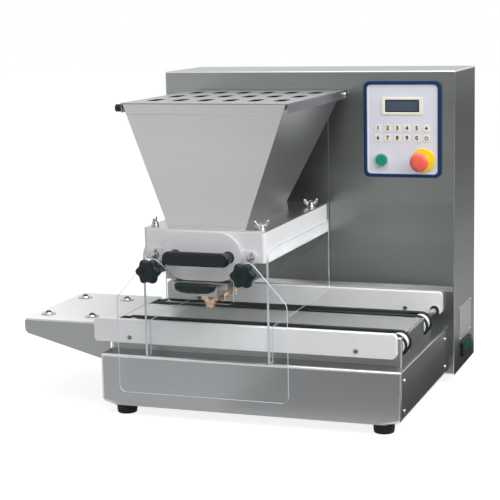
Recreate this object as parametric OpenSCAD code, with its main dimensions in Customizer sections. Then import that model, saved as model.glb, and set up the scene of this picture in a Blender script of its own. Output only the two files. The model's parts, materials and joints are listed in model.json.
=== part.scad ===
// Table-top cookie depositor: a hopper over two feed rollers, a nozzle die and a belt table for trays.
// Millimetres, +Z up, front towards -Y, trays travel along +X.
// Places are counted from the front left corner of the base box at floor level. The module home()
// then moves everything so that the origin lies under the middle of the whole machine.

/* [Base box] */
// Length of the base box along the tray travel
base_len = 670; // [620:5:760]
// Depth of the base box from its front to the tower
base_depth = 442; // [430:1:500]
// Height of the base box
base_height = 113; // [100:1:140]
// Sideways reach of the cut along the lower long edges
corner_cut_x = 32; // [10:1:38]
// Height of that cut
corner_cut_z = 8; // [4:1:16]
// Thickness of the sheet steel of boxes and bed
sheet = 2; // [1.5:0.5:3]
// Thickness of the floor plate
floor_t = 3; // [2:0.5:5]
// Height of the rubber feet
foot_height = 23; // [15:1:35]
// Diameter of the rubber feet
foot_dia = 48; // [35:1:52]
// Distance of the front foot centres from the ends of the base
foot_side = 45; // [42:1:80]
// Distance of the front foot centres from the front of the base
foot_front = 33; // [28:1:80]
// Distance of the rear foot centres from the sides and the back of the tower
foot_inset = 62; // [58:1:90]
// Diameter of the studs moulded into the feet
foot_stud_dia = 8; // [6:1:10]

/* [Tower] */
// Width that the tower stands out on each side of the base
tower_side = 15; // [5:1:30]
// Depth of the tower
tower_depth = 225; // [215:1:280]
// Height of the tower box
tower_height = 697; // [680:1:800]
// Width of the rim that the back cover is screwed to
tower_rim = 16; // [12:1:25]
// Thickness of the mounting plate behind the head
head_plate_t = 4; // [3:0.5:8]
// Width that the mounting plate stands out beside the head
head_plate_side = 5.5; // [2:0.5:12]
// Height of the mounting plate
head_plate_h = 330; // [240:1:340]

/* [Belt table] */
// Depth of the ledge in front of the bed
ledge = 51; // [42:1:60]
// Distance of the bed from the left end of the base
bed_end = 3; // [2:1:10]
// Distance of the bed from the right end of the base
bed_gap = 12; // [6:1:40]
// Depth of the bed
bed_depth = 267; // [260:1:290]
// Height of the bed above the base box
bed_rise = 60; // [56:1:80]
// Distance between the two belt tracks
track_pitch = 190; // [180:1:194]
// Distance between the two belts of a track
belt_pair = 38; // [30:1:40]
// Diameter of the round belts
belt_dia = 8; // [6:1:9]
// Height of the belts above the bed
belt_show = 4.5; // [3:0.5:5]
// Radius of the belt centre line on the pulleys
belt_pitch_r = 21; // [18:1:22]
// Height of the pulley rim above the belt centre line
pulley_rim = 1; // [1:0.5:3]
// Width of a pulley beyond its outer belts
pulley_side = 8; // [6:1:9]
// Diameter of the belt shafts
belt_shaft_dia = 14; // [10:1:16]
// Distance of the drive shaft from the right end of the bed
drive_end = 17; // [15:1:20]
// Distance of the idler shaft from the left end of the bed
idler_end = 33; // [30:1:45]
// Diameter of the shaft bearings
bearing_dia = 27; // [22:1:28]

/* [Guide rails] */
// Length of the guide rails
rail_len = 680; // [600:5:680]
// Thickness of the guide rails
rail_t = 15; // [10:1:18]
// Height of the guide rails
rail_h = 52; // [44:1:56]
// Rounding of the rail ends
rail_r = 10; // [4:1:14]
// Overhang of the front rail at the left end of the base
front_rail_out = 30; // [10:1:60]
// Overhang of the rear rail at the left end of the base
rear_rail_out = 22; // [10:1:60]
// Height of the front rail above the belts
front_rail_lip = 5; // [2:0.5:8]
// Height of the rear rail above the belts
rear_rail_lip = 17; // [12:1:20]
// Distance of the rail screws from the rail ends
rail_screw_end = 85; // [40:1:150]
// Height of the rail screws above the lower edge of the rail
rail_screw_z = 13; // [11:1:16]
// Diameter of the notch for the shaft
notch_dia = 22; // [18:1:26]

/* [In-feed shelf] */
// Length of the shelf plate
shelf_len = 206; // [160:1:240]
// Depth of the shelf plate
shelf_depth = 300; // [260:1:320]
// Thickness of the shelf plate
shelf_t = 4; // [3:0.5:6]
// Thickness of the shelf brackets
bracket_t = 3; // [2:0.5:5]
// Depth to which the brackets reach down the base box
bracket_hold = 31; // [26:1:50]
// Height of the bracket nose
bracket_nose_h = 31; // [30:1:50]
// Rounding of the bracket nose
bracket_nose = 13; // [6:1:15]
// Diameter of the transfer balls
ball_dia = 16; // [12:1:18]
// Diameter of the ball cup flange
cup_dia = 34; // [30:1:40]
// Distance of the ball rows from the shelf ends along the travel
ball_end = 32; // [24:1:45]
// Distance of the balls along the travel
ball_pitch_x = 109; // [70:1:120]
// Distance of the ball rows across the travel
ball_pitch_y = 190; // [120:1:210]

/* [Head] */
// Distance of the head centre from the right end of the base
head_right = 422; // [370:1:435]
// Width of the head block
head_w = 272; // [262:1:300]
// Height of the head block beside the roller housing
head_h = 64; // [58:1:75]
// Rounding of the front edges of the head block
head_r = 8; // [4:1:20]
// Width of the roller housing below the block
stem_w = 176; // [174:1:184]
// Height of the roller housing below the block
stem_h = 41; // [36:1:48]
// Height of the roller axes above the underside of the block
roller_lift = 12; // [10:1:15]
// Diameter of the feed rollers
roller_dia = 74; // [64:1:75]
// Gap between the feed rollers
roller_gap = 2; // [1:0.5:3]
// Length of the fluted part of the rollers
roller_len = 259; // [252:1:300]
// Number of flutes on a roller
flutes = 16; // [8:1:24]
// Radius of a flute
flute_r = 4; // [2:0.5:5]
// Diameter of the roller shafts
roller_shaft_dia = 18; // [14:1:22]
// Diameter of the front journals
journal_dia = 16; // [10:1:20]
// Length of the front journals
journal_len = 8; // [5:1:9]
// Width of the slot below the rollers
feed_slot = 24; // [16:1:32]
// Thickness of the front cover
cover_t = 12; // [10:0.5:16]
// Width of the front cover
cover_w = 176; // [170:1:190]
// Height of the front cover
cover_h = 104; // [96:1:104]
// Thickness of the cover's ears
ear_t = 6; // [4:0.5:9]
// Height of the cover's ears
ear_h = 28; // [22:1:30]
// Distance of the front wing nuts from the head centre
front_nut_x = 107; // [104:1:116]
// Distance of the hopper wing nuts from the head centre
top_nut_x = 120; // [112:1:124]
// Depth of the front pair of hopper wing nuts
top_nut_y = 26; // [22:1:40]
// Distance of the rear pair of hopper wing nuts from the back of the flange
top_nut_back = 64; // [40:1:100]
// Diameter of the wing nut studs
stud_dia = 8; // [6:1:10]
// Length of the black handle
handle_w = 149; // [120:1:165]
// Height of the black handle
handle_h = 30; // [20:1:34]
// Thickness of the handle bar
handle_t = 15; // [10:1:20]
// Room behind the handle bar
handle_room = 28; // [22:1:40]
// Distance between the handle posts
handle_posts = 118; // [80:1:126]

/* [Die] */
// Free height for trays between belts and nozzles
tray_room = 45; // [30:1:60]
// Length of the nozzles below the die
nozzle_drop = 26; // [20:1:36]
// Diameter of the nozzle collars
nozzle_dia = 36; // [30:1:40]
// Diameter of the nozzle mouth
nozzle_mouth = 12; // [8:1:16]
// Number of nozzles
nozzles_n = 4; // [2:1:4]
// Distance between the nozzles
nozzle_pitch = 71; // [60:1:77]
// Depth of the first nozzle behind the head front
nozzle_first = 31; // [19:1:36]
// Height of the die
die_h = 36; // [32:1:42]
// Width of the die without its tongues
die_w = 125; // [100:1:128]
// Thickness of the die's slide plate
die_plate_h = 12; // [10:0.5:16]
// Width of the nozzle bar under the slide plate
die_bar_w = 50; // [44:1:80]
// Distance that the slide plate stands out in front of the head
die_front = 28; // [8:1:32]
// Width and height of the tongues on the die
tongue = 7; // [5:0.5:8]
// Thickness of the web of the die rails
die_rail_t = 6; // [4:0.5:8]
// Length of the black grip
grip_w = 91; // [60:1:100]
// Height of the black grip
grip_h = 23; // [14:1:26]
// Thickness of the black grip
grip_t = 18; // [12:1:20]
// Distance that the grip stands out from the slide plate
grip_out = 36; // [24:1:44]
// Width of the clamp bars under the block
bar_w = 20; // [16:1:22]
// Height of the clamp bars
bar_h = 28; // [24:1:32]

/* [Guards] */
// Thickness of the clear guards
guard_t = 5; // [4:0.5:8]
// Gap between the head front and the front guard
guard_gap = 25; // [24:1:40]
// Width of the front guard
guard_w = 381; // [340:1:420]
// Height of the lower edge of the front guard above the floor
guard_z = 62; // [40:1:90]
// Height of the outer ends of the shoulders above the lower edge
shoulder_h = 222; // [180:1:232]
// Rounding of the shoulders
shoulder_r = 24; // [10:1:40]
// Rounding of the lower corners
guard_r = 15; // [5:1:25]
// Distance of the star knobs from the head centre
knob_x = 105; // [99:1:108]
// Depth of the knob axis below the underside of the block
knob_drop = 17; // [13:1:18]
// Radius of the ears around the knobs
ear_r = 22; // [16:1:22]
// Width of the cut-out in the front guard
cutout_w = 150; // [148:1:156]
// Depth of the cut-out below the nozzle bar
cutout_drop = 6; // [3:0.5:12]
// Outer diameter of the star knobs
knob_dia = 55; // [40:1:58]
// Thickness of the star knobs
knob_t = 20; // [14:1:26]
// Length of the knob hubs
hub_t = 12; // [6:1:16]
// Height of the side guards above the underside of the block
side_top = 27; // [22:1:36]
// Room between the belts and the side guards
side_room = 10; // [8:0.5:14]
// Depth of the front legs of the side guards
leg_w = 20; // [12:1:24]
// Distance of the side guards from the head front
side_front = 4; // [2:1:8]
// Rounding of the upper front corner of the side guards
side_r = 26; // [10:1:30]

/* [Hopper] */
// Thickness of the hopper sheet
hopper_t = 2; // [1.5:0.5:3]
// Thickness of the hopper flange
flange_t = 3; // [2:0.5:5]
// Width of the hopper at the top
hopper_top_w = 362; // [300:1:370]
// Room between the upper back edge of the hopper and the tower
hopper_back = 20; // [18:1:60]
// Width of the hopper at the flange
hopper_low_w = 174; // [150:1:184]
// Depth of the hopper at the flange
hopper_low_d = 227; // [180:1:232]
// Distance of the throat behind the head front
throat_y = 18; // [16:1:40]
// Distance of the hopper's upper front edge behind the head front
hopper_front = 14; // [4:1:24]
// Height of the hopper
hopper_h = 259; // [200:1:259]
// Thickness of the lid
lid_t = 2; // [1.5:0.5:3]
// Depth of the lid flanges
lid_flange = 18; // [15:1:24]
// Gap between the hopper and the lid flanges
lid_side_gap = 2.5; // [2:0.5:4]
// Length of the lid slots
slot_len = 62; // [30:1:80]
// Width of the lid slots
slot_w = 25; // [10:1:26]
// Distance between the lid slots of a row
slot_pitch_x = 57; // [40:1:57]
// Distance between the rows of lid slots
slot_pitch_y = 118; // [90:1:125]
// Diameter of the lid pivots
pivot_dia = 8; // [6:1:10]
// Distance of the lid pivots behind the hopper
pivot_behind = 5; // [4.5:0.5:6]
// Depth of the lid pivots below the lid
pivot_drop = 9; // [7:0.5:9]
// Diameter of the dark knob on the lid corner
lid_knob_dia = 16; // [10:1:18]
// Length of the dark knob on the lid corner
lid_knob_len = 15; // [8:1:20]

/* [Controls] */
// Width of the control panel
panel_w = 179; // [170:1:190]
// Height of the control panel
panel_h = 218; // [206:1:240]
// Thickness of the panel frame
panel_t = 6; // [4:0.5:9]
// Width of the panel frame
panel_border = 7; // [4:0.5:10]
// Rounding of the panel corners
panel_r = 14; // [10:1:18]
// Distance of the panel from the right side of the tower
panel_side = 31; // [20:1:60]
// Distance of the panel from the top of the tower
panel_drop = 23; // [12:1:60]
// Width of the display
display_w = 79; // [50:1:90]
// Height of the display
display_h = 28; // [20:1:40]
// Width of the keys
key_dia = 15; // [8:0.5:17]
// Distance of the keys along a row
key_pitch_x = 22.5; // [18:0.5:24]
// Distance of the key rows
key_pitch_z = 22.5; // [18:0.5:28]
// Outer diameter of the start button ring
ring_dia = 31; // [28:0.5:34]
// Diameter of the panel holes for the buttons
button_hole = 22.4; // [20:0.2:24]
// Travel of the start button
start_travel = 3; // [2:0.5:4]
// Diameter of the stop button
stop_dia = 42; // [30:1:44]
// Distance of the stop button's head from the yellow disc
stop_reach = 30; // [14:1:34]
// Diameter of the yellow disc behind the stop button
disc_dia = 54; // [50:1:62]
// Travel of the stop button
stop_travel = 4; // [3:0.5:6]
// Distance between the start and stop buttons
button_pitch = 96; // [90:1:104]
// Length of the main switch housing
switch_w = 96; // [80:1:110]
// Height of the main switch housing
switch_h = 36; // [32:1:44]
// Length of the main switch rocker
rocker_w = 56; // [44:1:60]
// Height of the main switch rocker
rocker_h = 22; // [16:1:24]
// Swing of the rocker to each side in degrees
rocker_swing = 6; // [3:1:8]
// Length of the data plate
plate_w = 130; // [80:1:150]
// Height of the data plate
plate_h = 80; // [50:1:90]

/* [Fits] */
// Gap where a fixed piece seats on another
seat = 0.2; // [0.1:0.05:0.4]
// Running clearance on the radius of shafts, studs and pins
run = 0.05; // [0.02:0.01:0.1]
// Clearance of curved faces that pass each other
pass = 0.3; // [0.2:0.05:0.5]
// Diameter of the case screws
screw_dia = 5; // [4:0.5:6]

/* [Hidden] */
$fn = 64;
// heights
z_deck = foot_height + base_height;
bed_top = z_deck + bed_rise;
belt_top = bed_top + belt_show;
axle_z = belt_top - belt_dia / 2 - belt_pitch_r;
channel_z = belt_top - belt_dia - pass;
shelf_top = belt_top - ball_dia / 2 - 0.5;
tip_z = belt_top + tray_room;
die_z = tip_z + nozzle_drop;
stem_z = die_z + die_h + pass;
head_z = stem_z + stem_h;
head_top = head_z + head_h;
roller_z = head_z + roller_lift;
knob_z = head_z - knob_drop;
hopper_z = head_top + flange_t;
rim_z = hopper_z + hopper_h;
lid_z = rim_z + pass;
pivot_z = lid_z - pivot_drop;
tower_top = foot_height + tower_height;
// places along the travel
tower_x0 = -tower_side;
tower_x1 = base_len + tower_side;
bed_x0 = bed_end;
bed_x1 = base_len - bed_gap;
drive_x = bed_x1 - drive_end;
idler_x = bed_x0 + idler_end;
shelf_x1 = -bed_end;
shelf_x0 = shelf_x1 - shelf_len;
ball_xs = [shelf_x0 + ball_end, shelf_x0 + ball_end + ball_pitch_x];
lid_half = hopper_top_w / 2 + lid_side_gap + lid_t;
head_mid = base_len - head_right;
head_x0 = head_mid - head_w / 2;
head_x1 = head_mid + head_w / 2;
roller_dx = (roller_dia + roller_gap) / 2;
roller_xs = [head_mid - roller_dx, head_mid + roller_dx];
// places from front to back
bed_y0 = ledge;
bed_y1 = ledge + bed_depth;
track_ys = [bed_y0 + bed_depth / 2 - track_pitch / 2, bed_y0 + bed_depth / 2 + track_pitch / 2];
tower_y1 = base_depth + tower_depth;
wall_y = base_depth + sheet;
head_back = base_depth - head_plate_t;
roller_y0 = 3;
roller_y1 = roller_y0 + roller_len;
guard_y1 = -guard_gap;
guard_y0 = guard_y1 - guard_t;
knob_y0 = guard_y0 - hub_t - knob_t;
hopper_top_d = base_depth - hopper_back;
pivot_y = hopper_top_d + pivot_behind;
pivot_ear_r = pivot_drop - 2 * pass;
lid_y1 = pivot_y + pivot_drop - 2;
flange_y0 = 3;
flange_y1 = head_back - 8;
top_nut_ys = [top_nut_y, flange_y1 - top_nut_back];
ball_ys = [bed_y0 + shelf_depth / 2 - ball_pitch_y / 2, bed_y0 + shelf_depth / 2 + ball_pitch_y / 2];
bracket_ys = [bed_y0, bed_y0 + shelf_depth - bracket_t];
// pulleys and belts
pulley_dia = 2 * (belt_pitch_r + pulley_rim);
pulley_w = belt_pair + 2 * pulley_side;
channel_w = belt_pair + belt_dia + 6;
opening_r = belt_pitch_r + belt_dia / 2 + 3;
bearing_l = track_ys[0] - pulley_w / 2 - bed_y0 - sheet - 0.5;
// transfer balls
ball_z = belt_top - ball_dia / 2;
cup_body = ball_dia + 8;
// die and nozzles
die_y1 = nozzle_first + (nozzles_n - 1) * nozzle_pitch + nozzle_dia / 2 + 6;
nozzle_ys = [for (i = [0:nozzles_n - 1]) nozzle_first + i * nozzle_pitch];
spigot_dia = nozzle_dia - 12;
spigot_h = 10;
plate_z0 = die_z + die_h - die_plate_h;
tongue_z = plate_z0 + die_plate_h / 2;
bar_y0 = nozzle_first - nozzle_dia / 2 - 4;
grip_y0 = -die_front - grip_out;
// gears of the feed rollers, one tooth per 4 mm of pitch diameter
gear_pitch_r = roller_dx;
gear_teeth = round(2 * gear_pitch_r / 4);
gear_tip = 3.3;
gear_root = 4.6;
gear_y0 = wall_y + 8;
gear_y1 = gear_y0 + 16;
case_y1 = gear_y1 + 12;
// gear motors
gearbox_w = 76;
gearbox_l = 60;
motor_dia = 66;
motor_l = 90;
shaft_hold = 40;
// controls
panel_x0 = tower_x1 - panel_side - panel_w;
panel_mid = panel_x0 + panel_w / 2;
panel_z1 = tower_top - panel_drop;
panel_z0 = panel_z1 - panel_h;
face_y = base_depth - panel_t / 2;
display_z = panel_z1 - panel_border - 49;
key_z = display_z - display_h / 2 - 36;
button_z = panel_z0 + panel_border + 32;
start_bore = button_hole - 4;
ring_wall = 2;
stop_boss = stop_reach - stop_travel - 4;
start_x = panel_mid - button_pitch / 2;
stop_x = panel_mid + button_pitch / 2;
switch_y = base_depth + tower_depth * 0.52;
switch_z = foot_height + sheet + switch_h / 2 + 24;
switch_out = 6;
rocker_back = 5;
rocker_well = rocker_back + rocker_w / 2 * sin(rocker_swing) + 2;
plate_z = switch_z + switch_h / 2 + plate_h / 2 + 6;
// fasteners
screw_head = 2 * screw_dia;
screw_head_t = 2.5;
screw_grip = 4;
stud_hold = 20;
stud_out = 2 * stud_dia;
front_rail_x0 = -front_rail_out;
rear_rail_x0 = -rear_rail_out;
front_rail_z = belt_top + front_rail_lip - rail_h;
rear_rail_z = belt_top + rear_rail_lip - rail_h;
front_rail_screws = [front_rail_x0 + rail_screw_end, front_rail_x0 + rail_len - rail_screw_end];
rear_rail_screws = [rear_rail_x0 + rail_screw_end, rear_rail_x0 + rail_len - rail_screw_end];
side_screw_ys = [26, base_depth - 33];
side_screw_zs = [foot_height + 26, z_deck - 23];
tab_w = 26;
tab_h = 20;
tab_screw_z = z_deck - bracket_hold + tab_h / 2 + 1;
bracket_tab_ys = [bed_y0 + bracket_t + tab_w / 2, bed_y0 + shelf_depth - bracket_t - tab_w / 2];
back_screw_xs = [tower_x0 + tower_rim / 2 + 1, tower_x1 - tower_rim / 2 - 1];
back_screw_zs = [foot_height + 60, foot_height + tower_height / 2, tower_top - 60];
inlet_x = base_len - 130;
inlet_z = foot_height + 70;
// middle of the whole machine, from its outermost pieces
mid_x = (shelf_x0 + tower_x1 + switch_out) / 2;
mid_y = (min(knob_y0, grip_y0) + tower_y1 + 3) / 2;

// Helpers

// Moves a piece from the base corner to the shared frame.
module home() {
    translate([-mid_x, -mid_y, 0])
        children();
}

// A box between two corners.
module slab(x0, x1, y0, y1, z0, z1) {
    translate([x0, y0, z0])
        cube([x1 - x0, y1 - y0, z1 - z0]);
}

// Round bars along the three axes.
module rod_x(y, z, x0, x1, d) {
    translate([x0, y, z])
        rotate([0, 90, 0])
            cylinder(d = d, h = x1 - x0);
}

module rod_y(x, z, y0, y1, d) {
    translate([x, y0, z])
        rotate([-90, 0, 0])
            cylinder(d = d, h = y1 - y0);
}

module rod_z(x, y, z0, z1, d) {
    translate([x, y, z0])
        cylinder(d = d, h = z1 - z0);
}

// Plates whose outline is drawn in the XZ, YZ or XY plane.
module plate_xz(y0, y1) {
    translate([0, y1, 0])
        rotate([90, 0, 0])
            linear_extrude(y1 - y0)
                children();
}

module plate_yz(x0, x1) {
    translate([x0, 0, 0])
        rotate([90, 0, 90])
            linear_extrude(x1 - x0)
                children();
}

module plate_xy(z0, z1) {
    translate([0, 0, z0])
        linear_extrude(z1 - z0)
            children();
}

// A rectangle with rounded corners.
module round_rect(x0, x1, z0, z1, r) {
    translate([x0 + r, z0])
        square([x1 - x0 - 2 * r, z1 - z0]);
    translate([x0, z0 + r])
        square([x1 - x0, z1 - z0 - 2 * r]);
    for (x = [x0 + r, x1 - r], z = [z0 + r, z1 - r])
        translate([x, z])
            circle(r = r);
}

// Draws a piece to the right of the head centre, and its mirror image to the left.
module both_sides() {
    for (s = [0, 1])
        translate([head_mid, 0, 0])
            mirror([s, 0, 0])
                children();
}

// A rectangle with half-round ends.
module lozenge(x, z, w, h) {
    translate([x - w / 2 + h / 2, z - h / 2])
        square([w - h, h]);
    for (s = [-1, 1])
        translate([x + s * (w - h) / 2, z])
            circle(d = h);
}

// Base box

module base_outline() {
    polygon([[corner_cut_x, foot_height], [base_len - corner_cut_x, foot_height],
        [base_len, foot_height + corner_cut_z], [base_len, z_deck],
        [0, z_deck], [0, foot_height + corner_cut_z]]);
}

module base_tub() {
    color("silver")
        home()
            difference() {
                plate_xz(0, base_depth)
                    base_outline();
                slab(sheet, base_len - sheet, sheet, base_depth + 1,
                    foot_height + corner_cut_z + sheet, z_deck - sheet);
                slab(corner_cut_x, base_len - corner_cut_x, sheet, base_depth + 1,
                    foot_height - 1, z_deck - sheet);
                for (y = side_screw_ys, z = side_screw_zs)
                    rod_x(y, z, -1, base_len + 1, screw_dia + 2 * run);
                for (y = bracket_tab_ys)
                    rod_x(y, tab_screw_z, -1, base_len / 2, screw_dia + 2 * run);
            }
}

module base_floor() {
    color("gray")
        home()
            difference() {
                slab(corner_cut_x + seat, base_len - corner_cut_x - seat, sheet + seat, base_depth - seat,
                    foot_height, foot_height + floor_t);
                for (x = [foot_side, base_len - foot_side])
                    rod_z(x, foot_front, 0, z_deck, foot_stud_dia + 2 * run);
            }
}

// One foot with its stud, which reaches through the plate above it.
module foot(x, y) {
    translate([x, y, 0])
        cylinder(d1 = foot_dia - 5, d2 = foot_dia, h = foot_height);
    rod_z(x, y, foot_height - 1, foot_height + 14, foot_stud_dia);
}

module feet() {
    color("black")
        home() {
            for (x = [foot_side, base_len - foot_side])
                foot(x, foot_front);
            for (x = [tower_x0 + foot_inset, tower_x1 - foot_inset])
                foot(x, tower_y1 - foot_inset);
        }
}

// Tower

module tower_shell() {
    color("silver")
        home()
            difference() {
                slab(tower_x0, tower_x1, base_depth, tower_y1, foot_height, tower_top);
                slab(tower_x0 + sheet, tower_x1 - sheet, wall_y, tower_y1 - 2 * sheet,
                    foot_height + sheet, tower_top - sheet);
                slab(tower_x0 + tower_rim, tower_x1 - tower_rim, wall_y, tower_y1 + 1,
                    foot_height + tower_rim, tower_top - tower_rim);
                slab(tower_x0 + sheet, tower_x1 - sheet, tower_y1 - sheet, tower_y1 + 1,
                    foot_height + sheet, tower_top - sheet);
                for (x = roller_xs)
                    rod_y(x, roller_z, base_depth - 1, wall_y + 1, roller_shaft_dia + 8);
                rod_y(drive_x, axle_z, base_depth - 1, wall_y + 1, belt_shaft_dia + 6);
                for (x = [start_x, stop_x])
                    rod_y(x, button_z, base_depth - 1, wall_y + 1, button_hole);
                slab(panel_mid - display_w / 2 - seat, panel_mid + display_w / 2 + seat, base_depth - 1,
                    wall_y + 1, display_z - display_h / 2 - seat, display_z + display_h / 2 + seat);
                for (x = rear_rail_screws)
                    rod_y(x, rear_rail_z + rail_screw_z, base_depth - 1, wall_y + 1, screw_dia + 2 * run);
                for (x = [tower_x0 + foot_inset, tower_x1 - foot_inset])
                    rod_z(x, tower_y1 - foot_inset, 0, foot_height + sheet + 1, foot_stud_dia + 2 * run);
                slab(tower_x1 - sheet - 1, tower_x1 + 1, switch_y - switch_w / 2 + 6,
                    switch_y + switch_w / 2 - 6,
                    switch_z - switch_h / 2 + 4, switch_z + switch_h / 2 - 4);
                back_screw_holes();
            }
}

module back_screw_holes() {
    for (x = back_screw_xs, z = back_screw_zs)
        rod_y(x, z, tower_y1 - 2 * sheet - 1, tower_y1 + 1, screw_dia + 2 * run);
}

module tower_back() {
    color("gray")
        home()
            difference() {
                slab(tower_x0 + sheet + seat, tower_x1 - sheet - seat, tower_y1 - sheet, tower_y1,
                    foot_height + sheet + seat, tower_top - sheet - seat);
                for (i = [0:7], x = [base_len * 0.25, base_len * 0.68])
                    slab(x, x + 110, tower_y1 - sheet - 1, tower_y1 + 1,
                        tower_top - 110 - i * 18, tower_top - 104 - i * 18);
                slab(inlet_x - 24, inlet_x + 24, tower_y1 - sheet - 1, tower_y1 + 1, inlet_z - 14,
                    inlet_z + 14);
                back_screw_holes();
            }
}

module head_plate() {
    color("silver")
        home()
            difference() {
                slab(head_x0 - head_plate_side, head_x1 + head_plate_side, head_back, base_depth,
                    head_z - bar_h, head_z - bar_h + head_plate_h);
                for (x = roller_xs)
                    rod_y(x, roller_z, head_back - 1, base_depth + 1, roller_shaft_dia + 8);
            }
}

// Belt table

module conveyor_bed() {
    side_w = track_ys[0] - channel_w / 2 - sheet;
    color("silver")
        home()
            difference() {
                slab(bed_x0, bed_x1, bed_y0, bed_y1, z_deck, bed_top);
                slab(bed_x0 + sheet, bed_x1 - sheet, bed_y0 + sheet, bed_y1 - sheet,
                    z_deck - 1, channel_z - sheet);
                slab(bed_x0 + sheet, bed_x1 - sheet, bed_y0 + sheet, side_w, z_deck, bed_top - sheet);
                slab(bed_x0 + sheet, bed_x1 - sheet, bed_y0 + bed_y1 - side_w, bed_y1 - sheet,
                    z_deck, bed_top - sheet);
                slab(bed_x0 + sheet, bed_x1 - sheet, track_ys[0] + channel_w / 2 + sheet,
                    track_ys[1] - channel_w / 2 - sheet, z_deck, bed_top - sheet);
                for (y = track_ys) {
                    slab(bed_x0 + 2 * sheet, bed_x1 + 1, y - channel_w / 2, y + channel_w / 2,
                        channel_z, bed_top + 1);
                    for (x = [idler_x, drive_x])
                        slab(x - opening_r, min(x + opening_r, bed_x1 + 1), y - pulley_w / 2 - 1.5,
                            y + pulley_w / 2 + 1.5, channel_z - sheet - 1, bed_top + 1);
                    slab(bed_x1 - sheet - 1, bed_x1 + 1, y - pulley_w / 2 - 1.5, y + pulley_w / 2 + 1.5,
                        axle_z - belt_pitch_r - 0.5, bed_top + 1);
                }
                for (x = [idler_x, drive_x])
                    rod_y(x, axle_z, bed_y1 - sheet - 1, bed_y1 + 1, belt_shaft_dia + 2);
                for (x = front_rail_screws)
                    rod_y(x, front_rail_z + rail_screw_z, bed_y0 - 1, bed_y0 + sheet + 1,
                        screw_dia + 2 * run);
            }
}

// One round belt around both pulleys.
module belt_loop(y) {
    for (s = [-1, 1])
        rod_x(y, axle_z + s * belt_pitch_r, idler_x, drive_x, belt_dia);
    belt_bend(drive_x, y, -90);
    belt_bend(idler_x, y, 90);
}

module belt_bend(x, y, turn) {
    translate([x, y, axle_z])
        rotate([90, 0, 0])
            rotate([0, 0, turn])
                rotate_extrude(angle = 180)
                    translate([belt_pitch_r, 0])
                        circle(d = belt_dia, $fn = 24);
}

module belts() {
    color("black")
        home()
            for (y = track_ys, s = [-1, 1])
                belt_loop(y + s * belt_pair / 2);
}

// A white pulley with two grooves, round at the bottom and straight at the rim.
module pulley(x, y) {
    difference() {
        rod_y(x, axle_z, y - pulley_w / 2, y + pulley_w / 2, pulley_dia);
        rod_y(x, axle_z, y - pulley_w, y + pulley_w, belt_shaft_dia + 2 * run);
        for (s = [-1, 1])
            translate([x, y + s * belt_pair / 2, axle_z])
                rotate([90, 0, 0])
                    rotate_extrude()
                        translate([belt_pitch_r, 0]) {
                            circle(d = belt_dia + 2 * pass, $fn = 24);
                            translate([0, -belt_dia / 2 - pass])
                                square([pulley_rim + 1, belt_dia + 2 * pass]);
                        }
    }
}

module drive_pulleys() {
    color("white")
        home()
            for (y = track_ys)
                pulley(drive_x, y);
}

module idler_pulleys() {
    color("white")
        home()
            for (y = track_ys)
                pulley(idler_x, y);
}

module drive_shaft() {
    color("silver")
        home()
            rod_y(drive_x, axle_z, bed_y0 + sheet + pass, wall_y + shaft_hold, belt_shaft_dia);
}

module idler_shaft() {
    color("silver")
        home()
            rod_y(idler_x, axle_z, bed_y0 + sheet + pass, bed_y1 - sheet - pass, belt_shaft_dia);
}

module bearings() {
    color("gray")
        home()
            for (x = [idler_x, drive_x], y = [bed_y0 + sheet, bed_y1 - sheet - bearing_l])
                difference() {
                    rod_y(x, axle_z, y, y + bearing_l, bearing_dia);
                    rod_y(x, axle_z, y - 1, y + bearing_l + 1, belt_shaft_dia + 2 * run);
                }
}

// Guide rails

module front_rail() {
    color("white")
        home()
            difference() {
                plate_xz(bed_y0 - rail_t, bed_y0)
                    round_rect(front_rail_x0, front_rail_x0 + rail_len, front_rail_z,
                        front_rail_z + rail_h, rail_r);
                for (x = front_rail_screws)
                    rod_y(x, front_rail_z + rail_screw_z, bed_y0 - rail_t - 1, bed_y0 + 1,
                        screw_dia + 2 * run);
            }
}

module rear_rail() {
    color("white")
        home()
            difference() {
                plate_xz(base_depth - rail_t, base_depth)
                    round_rect(rear_rail_x0, rear_rail_x0 + rail_len, rear_rail_z, rear_rail_z + rail_h,
                        rail_r);
                rod_y(drive_x, axle_z, base_depth - rail_t - 1, base_depth + 1, notch_dia);
                slab(drive_x - notch_dia / 2, drive_x + notch_dia / 2, base_depth - rail_t - 1,
                    base_depth + 1,
                    rear_rail_z - 1, axle_z);
                for (x = rear_rail_screws)
                    rod_y(x, rear_rail_z + rail_screw_z, base_depth - rail_t - 1, base_depth + 1,
                        screw_dia + 2 * run);
            }
}

// In-feed shelf

module shelf_plate() {
    color("white")
        home()
            difference() {
                plate_xy(shelf_top - shelf_t, shelf_top)
                    round_rect(shelf_x0, shelf_x1, bed_y0, bed_y0 + shelf_depth, 8);
                for (x = ball_xs, y = ball_ys)
                    rod_z(x, y, shelf_top - shelf_t - 1, shelf_top + 1, cup_body + 2 * run);
            }
}

module bracket_outline() {
    top = shelf_top - shelf_t;
    hull() {
        translate([shelf_x0 + bracket_nose, top - bracket_nose_h + bracket_nose])
            circle(r = bracket_nose);
        polygon([[shelf_x0, top], [-seat, top], [-seat, z_deck - bracket_hold]]);
    }
}

module shelf_brackets() {
    color("gray")
        home() {
            for (y = bracket_ys)
                plate_xz(y, y + bracket_t)
                    bracket_outline();
            for (y = bracket_tab_ys)
                difference() {
                    slab(-seat - bracket_t, -seat, y - tab_w / 2, y + tab_w / 2,
                        tab_screw_z - tab_h / 2, tab_screw_z + tab_h / 2);
                    rod_x(y, tab_screw_z, -bracket_t - 2, 1, screw_dia + 2 * run);
                }
        }
}

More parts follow.
